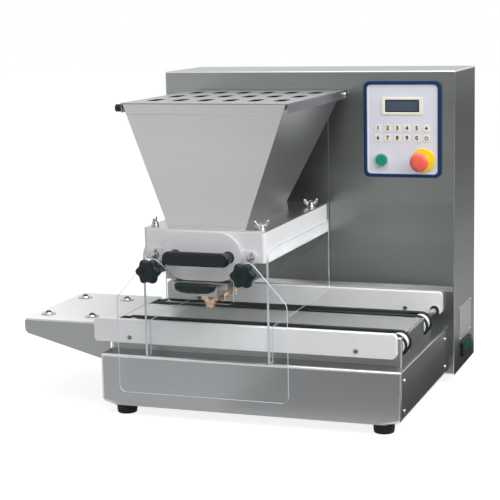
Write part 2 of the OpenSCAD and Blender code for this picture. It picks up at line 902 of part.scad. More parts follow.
module ball_cups() {
    color("silver")
        home()
            for (x = ball_xs, y = ball_ys)
                difference() {
                    union() {
                        rod_z(x, y, shelf_top - 12, shelf_top, cup_body);
                        rod_z(x, y, shelf_top, shelf_top + 1.5, cup_dia);
                        translate([x, y, shelf_top + 1.5])
                            cylinder(d1 = cup_body, d2 = ball_dia + 1, h = 3);
                    }
                    translate([x, y, ball_z])
                        sphere(d = ball_dia + 2 * pass);
                }
}

module transfer_ball(x, y) {
    color("silver")
        home()
            translate([x, y, ball_z])
                sphere(d = ball_dia);
}

module ball_1() {
    transfer_ball(ball_xs[0], ball_ys[0]);
}

module ball_2() {
    transfer_ball(ball_xs[1], ball_ys[0]);
}

module ball_3() {
    transfer_ball(ball_xs[0], ball_ys[1]);
}

module ball_4() {
    transfer_ball(ball_xs[1], ball_ys[1]);
}

// Case screws: a low round head on the outside and a shank of length l.
// The shank points along s, which is 1 or -1.

module screw_y(x, z, y, s, l) {
    rod_y(x, z, min(y, y - s * screw_head_t), max(y, y - s * screw_head_t), screw_head);
    rod_y(x, z, min(y, y + s * l), max(y, y + s * l), screw_dia);
}

module screw_x(y, z, x, s, l) {
    rod_x(y, z, min(x, x - s * screw_head_t), max(x, x - s * screw_head_t), screw_head);
    rod_x(y, z, min(x, x + s * l), max(x, x + s * l), screw_dia);
}

module screws() {
    rail_screw_len = rail_t + sheet + screw_grip;
    sheet_screw_len = bracket_t + sheet + screw_grip;
    color("silver")
        home() {
            for (x = front_rail_screws)
                screw_y(x, front_rail_z + rail_screw_z, bed_y0 - rail_t, 1, rail_screw_len);
            for (x = rear_rail_screws)
                screw_y(x, rear_rail_z + rail_screw_z, base_depth - rail_t, 1, rail_screw_len);
            for (y = side_screw_ys, z = side_screw_zs) {
                screw_x(y, z, 0, 1, sheet_screw_len);
                screw_x(y, z, base_len, -1, sheet_screw_len);
            }
            for (y = bracket_tab_ys)
                screw_x(y, tab_screw_z, -seat - bracket_t, 1, sheet_screw_len);
            for (x = back_screw_xs, z = back_screw_zs)
                screw_y(x, z, tower_y1, -1, sheet_screw_len);
        }
}

// Drives in the tower

module conveyor_motor() {
    color("gray")
        home()
            difference() {
                union() {
                    slab(drive_x - gearbox_w / 2, drive_x + tower_side + bed_gap + drive_end - sheet - seat,
                        wall_y, wall_y + gearbox_l, axle_z - gearbox_w / 2, axle_z + gearbox_w / 2);
                    rod_y(drive_x, axle_z, wall_y + gearbox_l - 1, wall_y + gearbox_l + motor_l, motor_dia);
                }
                rod_y(drive_x, axle_z, wall_y - 1, wall_y + shaft_hold + 2, belt_shaft_dia + 2 * run);
            }
}

module feed_motor() {
    gear_r = gear_pitch_r + gear_tip + 2;
    color("gray")
        home()
            difference() {
                union() {
                    slab(roller_xs[0] - gear_r - 6, roller_xs[1] + gear_r + 6, wall_y, case_y1,
                        roller_z - gear_r - 6, roller_z + gear_r + 6);
                    slab(roller_xs[0] - gearbox_w / 2, roller_xs[0] + gearbox_w / 2, case_y1 - 1,
                        case_y1 + gearbox_l, roller_z - gearbox_w / 2, roller_z + gearbox_w / 2);
                    rod_y(roller_xs[0], roller_z, case_y1 + gearbox_l - 1, case_y1 + gearbox_l + motor_l,
                        motor_dia);
                }
                for (x = roller_xs)
                    rod_y(x, roller_z, wall_y - 1, gear_y1 + 2, 2 * gear_r);
                rod_y(roller_xs[0], roller_z, wall_y, case_y1 + shaft_hold + 2, roller_shaft_dia + 2 * run);
                rod_y(roller_xs[1], roller_z, wall_y, case_y1 - 2, roller_shaft_dia + 2 * run);
            }
}

module electronics() {
    board_y = wall_y + 46;
    color("darkgreen")
        home() {
            slab(panel_x0 + 12, panel_x0 + panel_w - 12, board_y, board_y + 2, display_z - 75,
                display_z + 30);
            for (x = [panel_x0 + 18, panel_x0 + panel_w - 18], z = [display_z - 69, display_z + 24])
                rod_y(x, z, wall_y, board_y + 1, 8);
            for (i = [0:2])
                slab(panel_x0 + 26 + i * 42, panel_x0 + 56 + i * 42, board_y + 1, board_y + 18,
                    display_z - 50, display_z - 22);
            slab(head_mid - 60, head_mid + 100, wall_y + 60, wall_y + 150, foot_height + sheet,
                foot_height + 62);
        }
}

// Head

module head_block() {
    color("white")
        home()
            difference() {
                union() {
                    plate_xy(head_z, head_top) {
                        translate([head_x0 + head_r, 0])
                            square([head_w - 2 * head_r, head_back]);
                        translate([head_x0, head_r])
                            square([head_w, head_back - head_r]);
                        for (x = [head_x0 + head_r, head_x1 - head_r])
                            translate([x, head_r])
                                circle(r = head_r);
                    }
                    slab(head_mid - stem_w / 2, head_mid + stem_w / 2, 0, head_back, stem_z, head_z + 1);
                }
                for (x = roller_xs) {
                    rod_y(x, roller_z, -1, roller_y1 + 2, roller_dia + 1);
                    rod_y(x, roller_z, roller_y1, head_back + 1, roller_shaft_dia + 2 * run);
                }
                plate_xz(throat_y + hopper_t, throat_y + hopper_low_d - hopper_t)
                    polygon([[head_mid - roller_dx - 30, roller_z], [head_mid + roller_dx + 30, roller_z],
                        [head_mid + hopper_low_w / 2 - hopper_t, head_top + 1],
                        [head_mid - hopper_low_w / 2 + hopper_t, head_top + 1]]);
                slab(head_mid - feed_slot / 2, head_mid + feed_slot / 2, nozzle_first - 10,
                    roller_y1, stem_z - 1, roller_z);
                both_sides() {
                    rod_y(front_nut_x, roller_z, -1, stud_hold + 2, stud_dia + 2 * run);
                    for (y = top_nut_ys)
                        rod_z(top_nut_x, y, head_top - stud_hold - 2, head_top + 1, stud_dia + 2 * run);
                }
            }
}

module front_cover() {
    color("white")
        home()
            difference() {
                union() {
                    plate_xz(-cover_t, -seat)
                        lozenge(head_mid, head_top - cover_h / 2, cover_w, cover_h);
                    plate_xz(-ear_t, -seat)
                        lozenge(head_mid, roller_z, 2 * front_nut_x + ear_h, ear_h);
                }
                for (x = roller_xs)
                    rod_y(x, roller_z, roller_y0 - journal_len - pass, 1, journal_dia + 2 * run);
                for (s = [-1, 1])
                    rod_y(head_mid + s * front_nut_x, roller_z, -cover_t - 1, 1, stud_dia + 2 * run);
            }
}

module cover_handle() {
    color("black")
        home() {
            plate_xz(-cover_t - handle_room - handle_t, -cover_t - handle_room)
                lozenge(head_mid, head_top - cover_h / 2, handle_w, handle_h);
            for (s = [-1, 1])
                rod_y(head_mid + s * handle_posts / 2, head_top - cover_h / 2,
                    -cover_t - handle_room - 1, -cover_t, 22);
        }
}

module head_studs() {
    color("silver")
        home()
            both_sides() {
                for (y = top_nut_ys)
                    rod_z(top_nut_x, y, head_top - stud_hold, hopper_z + stud_out, stud_dia);
                rod_y(front_nut_x, roller_z, -ear_t - stud_out, stud_hold, stud_dia);
                rod_y(knob_x, knob_z, guard_y0 - hub_t - 4, stud_hold, stud_dia);
                difference() {
                    rod_y(knob_x, knob_z, guard_y1, 0, bar_w);
                    rod_y(knob_x, knob_z, guard_y1 - 1, 1, stud_dia + 2 * run);
                }
            }
}

// A wing nut standing on the XY plane.
module wing_nut() {
    difference() {
        union() {
            cylinder(d1 = 2.1 * stud_dia, d2 = 1.7 * stud_dia, h = stud_dia);
            for (s = [0, 180])
                rotate([0, 0, s]) {
                    translate([0, -1.5, 2])
                        rotate([0, -35, 0])
                            cube([1.8 * stud_dia, 3, 5.5]);
                    translate([1.65 * stud_dia, 1.5, 1.5 * stud_dia])
                        rotate([90, 0, 0])
                            cylinder(d = 1.3 * stud_dia, h = 3);
                }
        }
        translate([0, 0, -1])
            cylinder(d = stud_dia + 2 * run, h = 4 * stud_dia);
    }
}

module wing_nuts() {
    color("silver")
        home()
            for (s = [-1, 1]) {
                for (y = top_nut_ys)
                    translate([head_mid + s * top_nut_x, y, hopper_z])
                        rotate([0, 0, 60])
                            wing_nut();
                translate([head_mid + s * front_nut_x, -ear_t, roller_z])
                    rotate([90, 0, 0])
                        rotate([0, 0, 110])
                            wing_nut();
            }
}

// Feed rollers

module feed_roller(x, y_end) {
    color("silver")
        home() {
            difference() {
                rod_y(x, roller_z, roller_y0, roller_y1, roller_dia);
                for (i = [0:flutes - 1])
                    translate([x, 0, roller_z])
                        rotate([0, (i + 0.5) * 360 / flutes, 0])
                            rod_y(roller_dia / 2, 0, roller_y0 - 1, roller_y1 + 1, 2 * flute_r);
            }
            rod_y(x, roller_z, roller_y0 - journal_len, roller_y0 + 1, journal_dia);
            rod_y(x, roller_z, roller_y1 - 1, y_end, roller_shaft_dia);
        }
}

module feed_roller_a() {
    feed_roller(roller_xs[0], case_y1 + shaft_hold);
}

module feed_roller_b() {
    feed_roller(roller_xs[1], case_y1 - 4);
}

// A spur gear drawn around the origin. The turn sets the first tooth's direction.
module gear_outline(turn) {
    step = 360 / gear_teeth;
    circle(r = gear_pitch_r - gear_root + 0.5);
    for (i = [0:gear_teeth - 1])
        rotate([0, 0, turn + i * step])
            polygon([[gear_pitch_r - gear_root - 1, -4], [gear_pitch_r - gear_root, -3.6],
                [gear_pitch_r, -2.7], [gear_pitch_r + gear_tip, -1.3],
                [gear_pitch_r + gear_tip, 1.3], [gear_pitch_r, 2.7],
                [gear_pitch_r - gear_root, 3.6], [gear_pitch_r - gear_root - 1, 4]]);
}

module feed_gear(x, turn) {
    color("gray")
        home()
            difference() {
                translate([x, 0, roller_z])
                    plate_xz(gear_y0, gear_y1)
                        gear_outline(turn);
                rod_y(x, roller_z, gear_y0 - 1, gear_y1 + 1, roller_shaft_dia + 2 * run);
            }
}

module feed_gear_a() {
    feed_gear(roller_xs[0], 0);
}

// The mate's first tooth points away from gear a, and half a step when the number of teeth is even.
module feed_gear_b() {
    feed_gear(roller_xs[1], gear_teeth % 2 == 0 ? 180 / gear_teeth : 0);
}

// Die and nozzles

module die_rails() {
    web_x = die_w / 2 + tongue + pass;
    color("silver")
        home()
            both_sides() {
                difference() {
                    slab(die_w / 2 + pass, web_x + die_rail_t, 0, die_y1 + 12, plate_z0 - 4, stem_z);
                    slab(die_w / 2, web_x, -1, die_y1 + 20, tongue_z - tongue / 2 - pass,
                        tongue_z + tongue / 2 + pass);
                }
                difference() {
                    slab(knob_x - bar_w / 2, knob_x + bar_w / 2, 0, head_back, head_z - bar_h, head_z);
                    rod_y(knob_x, knob_z, -1, stud_hold + 2, stud_dia + 2 * run);
                }
            }
}

module die_block() {
    color("gray")
        home()
            difference() {
                union() {
                    slab(head_mid - die_w / 2, head_mid + die_w / 2, -die_front, die_y1, plate_z0,
                        die_z + die_h);
                    slab(head_mid - die_bar_w / 2, head_mid + die_bar_w / 2, bar_y0, die_y1, die_z,
                        plate_z0 + 1);
                    slab(head_mid - die_w / 2 - tongue, head_mid + die_w / 2 + tongue, 1, die_y1,
                        tongue_z - tongue / 2, tongue_z + tongue / 2);
                }
                slab(head_mid - feed_slot / 2, head_mid + feed_slot / 2, nozzle_first - 10, die_y1 - 8,
                    die_z + spigot_h + 4, die_z + die_h + 1);
                for (y = nozzle_ys)
                    rod_z(head_mid, y, die_z - 1, die_z + spigot_h + 5, spigot_dia + 2 * run);
            }
}

module die_grip() {
    color("black")
        home() {
            plate_xz(grip_y0, grip_y0 + grip_t)
                lozenge(head_mid, tongue_z, grip_w, grip_h);
            plate_xz(grip_y0 + grip_t - 1, -die_front)
                lozenge(head_mid, tongue_z, grip_w - 30, die_plate_h - 2);
        }
}

// One bronze nozzle: spigot in the die, collar, cone and a star mouth.
module nozzle(y) {
    collar = nozzle_drop * 0.38;
    difference() {
        union() {
            rod_z(head_mid, y, die_z, die_z + spigot_h, spigot_dia);
            rod_z(head_mid, y, die_z - collar, die_z, nozzle_dia);
            translate([head_mid, y, tip_z])
                cylinder(d1 = nozzle_mouth + 6, d2 = nozzle_dia - 4, h = nozzle_drop - collar);
        }
        rod_z(head_mid, y, tip_z - 1, die_z + spigot_h + 1, nozzle_mouth);
        for (i = [0:5])
            translate([head_mid, y, tip_z - 1])
                rotate([0, 0, i * 60])
                    translate([nozzle_mouth / 4, -nozzle_mouth / 8, 0])
                        cube([nozzle_mouth, nozzle_mouth / 4, nozzle_drop / 4 + 1]);
    }
}

module nozzles() {
    color("peru")
        home()
            for (y = nozzle_ys)
                nozzle(y);
}

// Guards

module guard_front() {
    half = guard_w / 2;
    cut_z = die_z - cutout_drop;
    color("lightblue", 0.4)
        home()
            difference() {
                plate_xz(guard_y0, guard_y1)
                    translate([head_mid, 0])
                        for (s = [-1, 1])
                            hull() {
                                translate([s * knob_x, knob_z])
                                    circle(r = ear_r);
                                translate([s * (half - shoulder_r), guard_z + shoulder_h - shoulder_r])
                                    circle(r = shoulder_r);
                                translate([s * (half - guard_r), guard_z + guard_r])
                                    circle(r = guard_r);
                                translate([-0.01, guard_z])
                                    square([0.02, cut_z - guard_z]);
                            }
                plate_xz(guard_y0 - 1, guard_y1 + 1)
                    round_rect(head_mid - cutout_w / 2, head_mid + cutout_w / 2, cut_z, knob_z + 80, 12);
                for (s = [-1, 1])
                    rod_y(head_mid + s * knob_x, knob_z, guard_y0 - 1, guard_y1 + 1, stud_dia + 2 * run);
            }
}

module side_outline() {
    z0 = belt_top + side_room;
    z1 = head_z + side_top;
    translate([side_front + side_r, z1 - side_r])
        circle(r = side_r);
    translate([side_front + side_r, z0])
        square([head_back - pass - side_front - side_r, z1 - z0]);
    translate([side_front, z0])
        square([side_r + 1, z1 - side_r - z0]);
    translate([side_front, z_deck + pass])
        square([leg_w, z0 - z_deck]);
}

module guard_sides() {
    color("lightblue", 0.4)
        home()
            difference() {
                for (x = [head_x0 - seat - guard_t, head_x1 + seat])
                    plate_yz(x, x + guard_t)
                        side_outline();
                slab(head_x0 - 20, head_x1 + 20, base_depth - rail_t - 2, base_depth, z_deck,
                    belt_top + rear_rail_lip + 2);
            }
}

module star_knob(x) {
    lobe = knob_dia * 0.31;
    y1 = guard_y0;
    color("black")
        home()
            difference() {
                union() {
                    translate([x, 0, knob_z])
                        plate_xz(knob_y0, y1 - hub_t) {
                            circle(r = knob_dia / 2 - 0.6 * lobe);
                            for (i = [0:5])
                                rotate([0, 0, i * 60])
                                    translate([knob_dia / 2 - lobe / 2, 0])
                                        circle(d = lobe);
                        }
                    rod_y(x, knob_z, y1 - hub_t - 1, y1 - pass, knob_dia / 2);
                }
                rod_y(x, knob_z, y1 - hub_t - 6, y1 + 1, stud_dia + 2 * run);
            }
}

module star_knob_left() {
    star_knob(head_mid - knob_x);
}

module star_knob_right() {
    star_knob(head_mid + knob_x);
}

// Hopper and lid

// The hopper's sloping inside or outside, drawn i inside the outer skin.
module hopper_form(i, z0, z1) {
    intersection() {
        plate_xz(-50, base_depth)
            polygon([[head_mid - hopper_low_w / 2 + i, z0], [head_mid + hopper_low_w / 2 - i, z0],
                [head_mid + hopper_top_w / 2 - i, z1], [head_mid - hopper_top_w / 2 + i, z1]]);
        plate_yz(head_mid - hopper_top_w, head_mid + hopper_top_w)
            polygon([[throat_y + i, z0], [throat_y + hopper_low_d - i, z0], [hopper_top_d - i, z1],
                [hopper_front + i, z1]]);
    }
}

module hopper() {
    ear_in = hopper_top_w / 2 - 8;
    ear_out = hopper_top_w / 2 + lid_side_gap - pass;
    gusset_x = hopper_low_w / 2 - 4;
    gusset_y = throat_y + hopper_low_d;
    color("silver")
        home()
            difference() {
                union() {
                    hopper_form(0, hopper_z, rim_z);
                    slab(head_x0, head_x1, flange_y0, flange_y1, head_top, hopper_z);
                    both_sides() {
                        plate_yz(gusset_x - 1.5, gusset_x + 1.5)
                            polygon([[gusset_y - 4, hopper_z - 1], [gusset_y + 66, hopper_z - 1],
                                [gusset_y + 44, hopper_z + 58]]);
                        slab(ear_in, ear_out, pivot_y - 3 * pivot_ear_r, pivot_y,
                            pivot_z - pivot_ear_r, pivot_z + pivot_ear_r);
                        rod_x(pivot_y, pivot_z, ear_in, ear_out, 2 * pivot_ear_r);
                    }
                }
                hopper_form(hopper_t, hopper_z - 0.01, rim_z + 0.01);
                slab(head_mid - hopper_low_w / 2 + hopper_t, head_mid + hopper_low_w / 2 - hopper_t,
                    throat_y + hopper_t, throat_y + hopper_low_d - hopper_t, head_top - 1, hopper_z + 0.1);
                both_sides() {
                    for (y = top_nut_ys)
                        rod_z(top_nut_x, y, head_top - 1, hopper_z + 1, stud_dia + 2 * run);
                    rod_x(pivot_y, pivot_z, ear_in - 1, ear_out + 1, pivot_dia + 2 * run);
                }
            }
}

module lid_pivots() {
    color("silver")
        home()
            both_sides() {
                rod_x(pivot_y, pivot_z, hopper_top_w / 2 - 4, lid_half + pass + 1, pivot_dia);
                rod_x(pivot_y, pivot_z, lid_half + pass, lid_half + pass + 3.5, pivot_dia + 6);
            }
}

module lid() {
    mid = (hopper_front + lid_y1) / 2;
    color("silver")
        home()
            difference() {
                union() {
                    slab(head_mid - lid_half, head_mid + lid_half, hopper_front, lid_y1, lid_z,
                        lid_z + lid_t);
                    both_sides()
                        slab(lid_half - lid_t, lid_half, hopper_front + 2, lid_y1, lid_z - lid_flange,
                            lid_z + 1);
                }
                for (i = [-2.5:1:2.5], j = [-1:1])
                    plate_xy(lid_z - 1, lid_z + lid_t + 1)
                        translate([head_mid + i * slot_pitch_x, mid + j * slot_pitch_y])
                            rotate([0, 0, 90])
                                lozenge(0, 0, slot_len, slot_w);
                both_sides()
                    rod_x(pivot_y, pivot_z, lid_half - lid_t - 1, lid_half + 1, pivot_dia + 2 * run);
            }
}

module lid_knob() {
    color("dimgray")
        home()
            rod_x(hopper_front + 12, lid_z - lid_flange / 2, head_mid - lid_half - lid_knob_len,
                head_mid - lid_half, lid_knob_dia);
}

// Controls

module panel_outline(i) {
    round_rect(panel_x0 + i, panel_x0 + panel_w - i, panel_z0 + i, panel_z1 - i, panel_r - 0.6 * i);
}

module panel_frame() {
    color("navy")
        home()
            difference() {
                plate_xz(base_depth - panel_t, base_depth)
                    panel_outline(0);
                plate_xz(base_depth - panel_t - 1, base_depth + 1)
                    panel_outline(panel_border);
            }
}

module panel_face() {
    color("lavender")
        home()
            difference() {
                plate_xz(face_y, base_depth)
                    panel_outline(panel_border + seat);
                for (x = [start_x, stop_x])
                    rod_y(x, button_z, face_y - 1, base_depth + 1, button_hole);
                slab(panel_mid - display_w / 2 - seat, panel_mid + display_w / 2 + seat, face_y - 1,
                    base_depth + 1,
                    display_z - display_h / 2 - seat, display_z + display_h / 2 + seat);
            }
}

module display() {
    color("tan")
        home()
            slab(panel_mid - display_w / 2, panel_mid + display_w / 2, face_y - 1.2, wall_y + 12,
                display_z - display_h / 2, display_z + display_h / 2);
}

module keypad() {
    color("dimgray")
        home()
            for (i = [-2.5:1:2.5], j = [0, 1])
                plate_xz(face_y - 0.8, face_y)
                    translate([panel_mid + i * key_pitch_x, key_z - j * key_pitch_z])
                        round_rect(-key_dia / 2, key_dia / 2, -key_dia / 2, key_dia / 2, key_dia / 5);
}

module start_ring() {
    color("silver")
        home()
            difference() {
                union() {
                    rod_y(start_x, button_z, face_y - 5, face_y, ring_dia);
                    rod_y(start_x, button_z, face_y - 1, wall_y + 30, button_hole - 2 * seat);
                }
                rod_y(start_x, button_z, face_y - 6, face_y - 1, ring_dia - 2 * ring_wall);
                rod_y(start_x, button_z, face_y - 2, face_y + 8, start_bore);
            }
}

module start_button() {
    color("green")
        home() {
            rod_y(start_x, button_z, face_y - 8, face_y - 1 - start_travel - pass,
                ring_dia - 2 * ring_wall - 2 * pass);
            rod_y(start_x, button_z, face_y - 7, face_y + 8 - start_travel - pass, start_bore - 2 * pass);
        }
}

module stop_collar() {
    color("gold")
        home()
            difference() {
                union() {
                    rod_y(stop_x, button_z, face_y - 3, face_y, disc_dia);
                    rod_y(stop_x, button_z, face_y - 3 - stop_boss, face_y, 28);
                    rod_y(stop_x, button_z, face_y - 1, wall_y + 30, button_hole - 2 * seat);
                }
                rod_y(stop_x, button_z, face_y - 4 - stop_boss, face_y + 14, 14 + 2 * run);
            }
}

module stop_button() {
    head_y = face_y - 3 - stop_reach;
    color("red")
        home() {
            translate([stop_x, head_y, button_z])
                rotate([90, 0, 0])
                    cylinder(d1 = stop_dia - 4, d2 = stop_dia, h = 6);
            translate([stop_x, head_y - 5.9, button_z])
                rotate([90, 0, 0])
                    cylinder(d1 = stop_dia, d2 = stop_dia - 12, h = 8);
            rod_y(stop_x, button_z, head_y - 1, face_y + 14 - stop_travel - pass, 14);
        }
}

module switch_housing() {
    x = tower_x1;
    color("black")
        home()
            difference() {
                union() {
                    plate_yz(x, x + switch_out)
                        round_rect(switch_y - switch_w / 2, switch_y + switch_w / 2,
                            switch_z - switch_h / 2, switch_z + switch_h / 2, 6);
                    slab(x - 26, x + 1, switch_y - switch_w / 2 + 6 + seat,
                        switch_y + switch_w / 2 - 6 - seat,
                        switch_z - switch_h / 2 + 4 + seat, switch_z + switch_h / 2 - 4 - seat);
                }
                slab(x - rocker_well, x + switch_out + 1, switch_y - rocker_w / 2 - 1.5,
                    switch_y + rocker_w / 2 + 1.5,
                    switch_z - rocker_h / 2 - pass, switch_z + rocker_h / 2 + pass);
                rod_z(x, switch_y, switch_z - rocker_h / 2 - 4, switch_z + rocker_h / 2 + 4, 4 + 2 * run);
            }
}

// The rocker rests on its front end, and swings to its rear end.
module main_rocker() {
    half = rocker_w / 2;
    color("green")
        home() {
            translate([tower_x1, switch_y, 0])
                rotate([0, 0, -rocker_swing])
                    plate_xy(switch_z - rocker_h / 2, switch_z + rocker_h / 2)
                        polygon([[-rocker_back, -half + 5], [switch_out - 2, -half], [switch_out - 4, 0],
                            [switch_out - 2, half], [-rocker_back, half - 5]]);
            rod_z(tower_x1, switch_y, switch_z - rocker_h / 2 - 3, switch_z + rocker_h / 2 + 3, 4);
        }
}

module data_plate() {
    color("silver")
        home()
            slab(tower_x1, tower_x1 + 0.8, switch_y - plate_w / 2, switch_y + plate_w / 2,
                plate_z - plate_h / 2, plate_z + plate_h / 2);
}

module power_inlet() {
    y = tower_y1;
    color("black")
        home()
            difference() {
                union() {
                    plate_xz(y, y + 3)
                        round_rect(inlet_x - 28, inlet_x + 28, inlet_z - 18, inlet_z + 18, 4);
                    slab(inlet_x - 24 + seat, inlet_x + 24 - seat, y - 24, y + 1, inlet_z - 14 + seat,
                        inlet_z + 14 - seat);
                }
                slab(inlet_x - 17, inlet_x + 17, y - 16, y + 4, inlet_z - 10, inlet_z + 10);
            }
}

// Drawing

base_tub();
base_floor();
feet();
tower_shell();
tower_back();
head_plate();
conveyor_bed();
front_rail();
rear_rail();
shelf_plate();
shelf_brackets();
ball_cups();
screws();
belts();
bearings();
conveyor_motor();
feed_motor();
head_block();
front_cover();
cover_handle();
head_studs();
wing_nuts();
die_rails();
guard_front();
guard_sides();
hopper();
lid_pivots();
panel_frame();
panel_face();
display();
keypad();
electronics();
switch_housing();
data_plate();
power_inlet();
stop_collar();
start_ring();
lid();
lid_knob();
drive_shaft();
drive_pulleys();
idler_shaft();
idler_pulleys();
feed_roller_a();
feed_roller_b();
feed_gear_a();
feed_gear_b();
die_block();
die_grip();
nozzles();
star_knob_left();
star_knob_right();
ball_1();
ball_2();
ball_3();
ball_4();
stop_button();
start_button();
main_rocker();
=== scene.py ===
"""Looks of a table-top cookie depositor, in metres, in the frame of its solid model."""
import json
import math

import bmesh
import bpy
from mathutils import Matrix, Vector

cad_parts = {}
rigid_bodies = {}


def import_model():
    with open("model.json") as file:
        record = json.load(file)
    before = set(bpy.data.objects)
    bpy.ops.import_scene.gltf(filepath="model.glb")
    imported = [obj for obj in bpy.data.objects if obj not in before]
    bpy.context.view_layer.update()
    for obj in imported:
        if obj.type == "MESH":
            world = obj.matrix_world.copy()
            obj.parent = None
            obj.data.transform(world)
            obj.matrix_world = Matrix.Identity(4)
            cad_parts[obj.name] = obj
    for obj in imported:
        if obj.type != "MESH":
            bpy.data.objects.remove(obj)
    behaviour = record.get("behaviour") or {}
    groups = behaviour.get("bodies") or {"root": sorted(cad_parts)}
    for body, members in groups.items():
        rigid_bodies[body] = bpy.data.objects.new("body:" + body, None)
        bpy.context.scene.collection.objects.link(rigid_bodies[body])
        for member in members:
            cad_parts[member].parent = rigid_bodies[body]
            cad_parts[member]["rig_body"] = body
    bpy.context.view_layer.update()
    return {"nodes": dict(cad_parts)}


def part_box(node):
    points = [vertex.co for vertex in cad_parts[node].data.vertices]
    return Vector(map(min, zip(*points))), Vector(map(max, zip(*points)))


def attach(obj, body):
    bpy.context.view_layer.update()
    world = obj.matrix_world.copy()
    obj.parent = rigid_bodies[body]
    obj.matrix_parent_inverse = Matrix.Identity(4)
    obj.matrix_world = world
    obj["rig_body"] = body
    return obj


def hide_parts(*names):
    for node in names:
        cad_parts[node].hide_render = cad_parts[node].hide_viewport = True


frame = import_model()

NODES = frame["nodes"]
MM = 0.001
SIDE = Vector((1, 0, 0))
FRONT = Vector((0, -1, 0))
BACK = Vector((0, 1, 0))
UP = Vector((0, 0, 1))

# Sockets of the Mix node, which repeats their names for each kind of data.
MIX_FACTOR, MIX_A, MIX_B, MIX_RESULT = 0, 2, 3, 0
MIX_COLOUR_A, MIX_COLOUR_B, MIX_COLOUR_RESULT = 6, 7, 2


# Materials

def new_material(name):
    material = bpy.data.materials.new(name)
    material.use_nodes = True
    return material, material.node_tree, material.node_tree.nodes["Principled BSDF"]


def noise(tree, scale, detail=3.0):
    """Noise in the object's own metres, stretched by a scale per axis. Returns a value from 0 to 1."""
    coords = tree.nodes.new("ShaderNodeTexCoord")
    mapping = tree.nodes.new("ShaderNodeMapping")
    mapping.inputs["Scale"].default_value = scale
    texture = tree.nodes.new("ShaderNodeTexNoise")
    texture.inputs["Scale"].default_value = 1.0
    texture.inputs["Detail"].default_value = detail
    tree.links.new(coords.outputs["Object"], mapping.inputs["Vector"])
    tree.links.new(mapping.outputs["Vector"], texture.inputs["Vector"])
    return texture.outputs["Fac"]


def remap(tree, value, low, high):
    """Spreads the usual range of a noise over low to high."""
    node = tree.nodes.new("ShaderNodeMapRange")
    node.inputs["From Min"].default_value = 0.3
    node.inputs["From Max"].default_value = 0.7
    node.inputs["To Min"].default_value = low
    node.inputs["To Max"].default_value = high
    tree.links.new(value, node.inputs["Value"])
    return node.outputs["Result"]


def mix_value(tree, factor, a, b):
    """Mixes two values. The factor is a number or another value."""
    node = tree.nodes.new("ShaderNodeMix")
    if isinstance(factor, float):
        node.inputs[MIX_FACTOR].default_value = factor
    else:
        tree.links.new(factor, node.inputs[MIX_FACTOR])
    tree.links.new(a, node.inputs[MIX_A])
    tree.links.new(b, node.inputs[MIX_B])
    return node.outputs[MIX_RESULT]


def paint(tree, shader, value, dark, light):
    """Colours a shader from dark to light along a noise."""
    node = tree.nodes.new("ShaderNodeMix")
    node.data_type = "RGBA"
    node.inputs[MIX_COLOUR_A].default_value = (*dark, 1)
    node.inputs[MIX_COLOUR_B].default_value = (*light, 1)
    tree.links.new(remap(tree, value, 0.0, 1.0), node.inputs[MIX_FACTOR])
    tree.links.new(node.outputs[MIX_COLOUR_RESULT], shader.inputs["Base Color"])


def roughen(tree, shader, value, low, high):
    tree.links.new(remap(tree, value, low, high), shader.inputs["Roughness"])


def add_bump(tree, shader, height, strength, distance):
    bump = tree.nodes.new("ShaderNodeBump")
    bump.inputs["Strength"].default_value = strength
    bump.inputs["Distance"].default_value = distance
    tree.links.new(height, bump.inputs["Height"])
    tree.links.new(bump.outputs["Normal"], shader.inputs["Normal"])


def shade(colour, factor):
    return tuple(min(1.0, c * factor) for c in colour)


def upward(tree):
    """1 where a face looks up or down, 0 where it stands upright."""
    coords = tree.nodes.new("ShaderNodeTexCoord")
    split = tree.nodes.new("ShaderNodeSeparateXYZ")
    size = tree.nodes.new("ShaderNodeMath")
    size.operation = "ABSOLUTE"
    tree.links.new(coords.outputs["Normal"], split.inputs["Vector"])
    tree.links.new(split.outputs["Z"], size.inputs[0])
    return size.outputs[0]


def brushed_steel(name, colour, rough, cloud=0.05, streak=0.03, bands=(1.2, 1.2, 6.0), metallic=1.0):
    """Sheet steel brushed along its horizontal length, with soft bands of tone."""
    material, tree, shader = new_material(name)
    along, across = 6, 1700
    walls = noise(tree, (along, along, across))
    tops = noise(tree, (along, across, along))
    lines = mix_value(tree, upward(tree), walls, tops)
    clouds = noise(tree, bands, detail=1.5)
    spread = cloud + streak
    tone = mix_value(tree, cloud / spread, lines, clouds)
    paint(tree, shader, tone, shade(colour, 1 - spread), shade(colour, 1 + spread))
    roughen(tree, shader, lines, rough - 0.03, rough + 0.04)
    shader.inputs["Metallic"].default_value = metallic
    add_bump(tree, shader, lines, 0.035, 0.1 * MM)
    return material


def plain_metal(name, colour, rough, grain=(260, 260, 260), bump=0.05):
    """Turned, ground or plated metal with fine tool marks."""
    material, tree, shader = new_material(name)
    marks = noise(tree, grain)
    paint(tree, shader, marks, shade(colour, 0.86), shade(colour, 1.1))
    roughen(tree, shader, marks, rough - 0.05, rough + 0.07)
    shader.inputs["Metallic"].default_value = 1.0
    add_bump(tree, shader, marks, bump, 0.2 * MM)
    return material


def plastic(name, colour, rough, mottle=0.05, grain=900, bump=0.06, specular=0.5):
    """Moulded or milled plastic: faint mottling and a fine grain."""
    material, tree, shader = new_material(name)
    patches = noise(tree, (14, 14, 14))
    pores = noise(tree, (grain, grain, grain), detail=2.0)
    paint(tree, shader, patches, shade(colour, 1 - mottle), shade(colour, 1 + mottle))
    roughen(tree, shader, patches, rough - 0.04, rough + 0.05)
    shader.inputs["Specular IOR Level"].default_value = specular
    add_bump(tree, shader, pores, bump, 0.1 * MM)
    return material


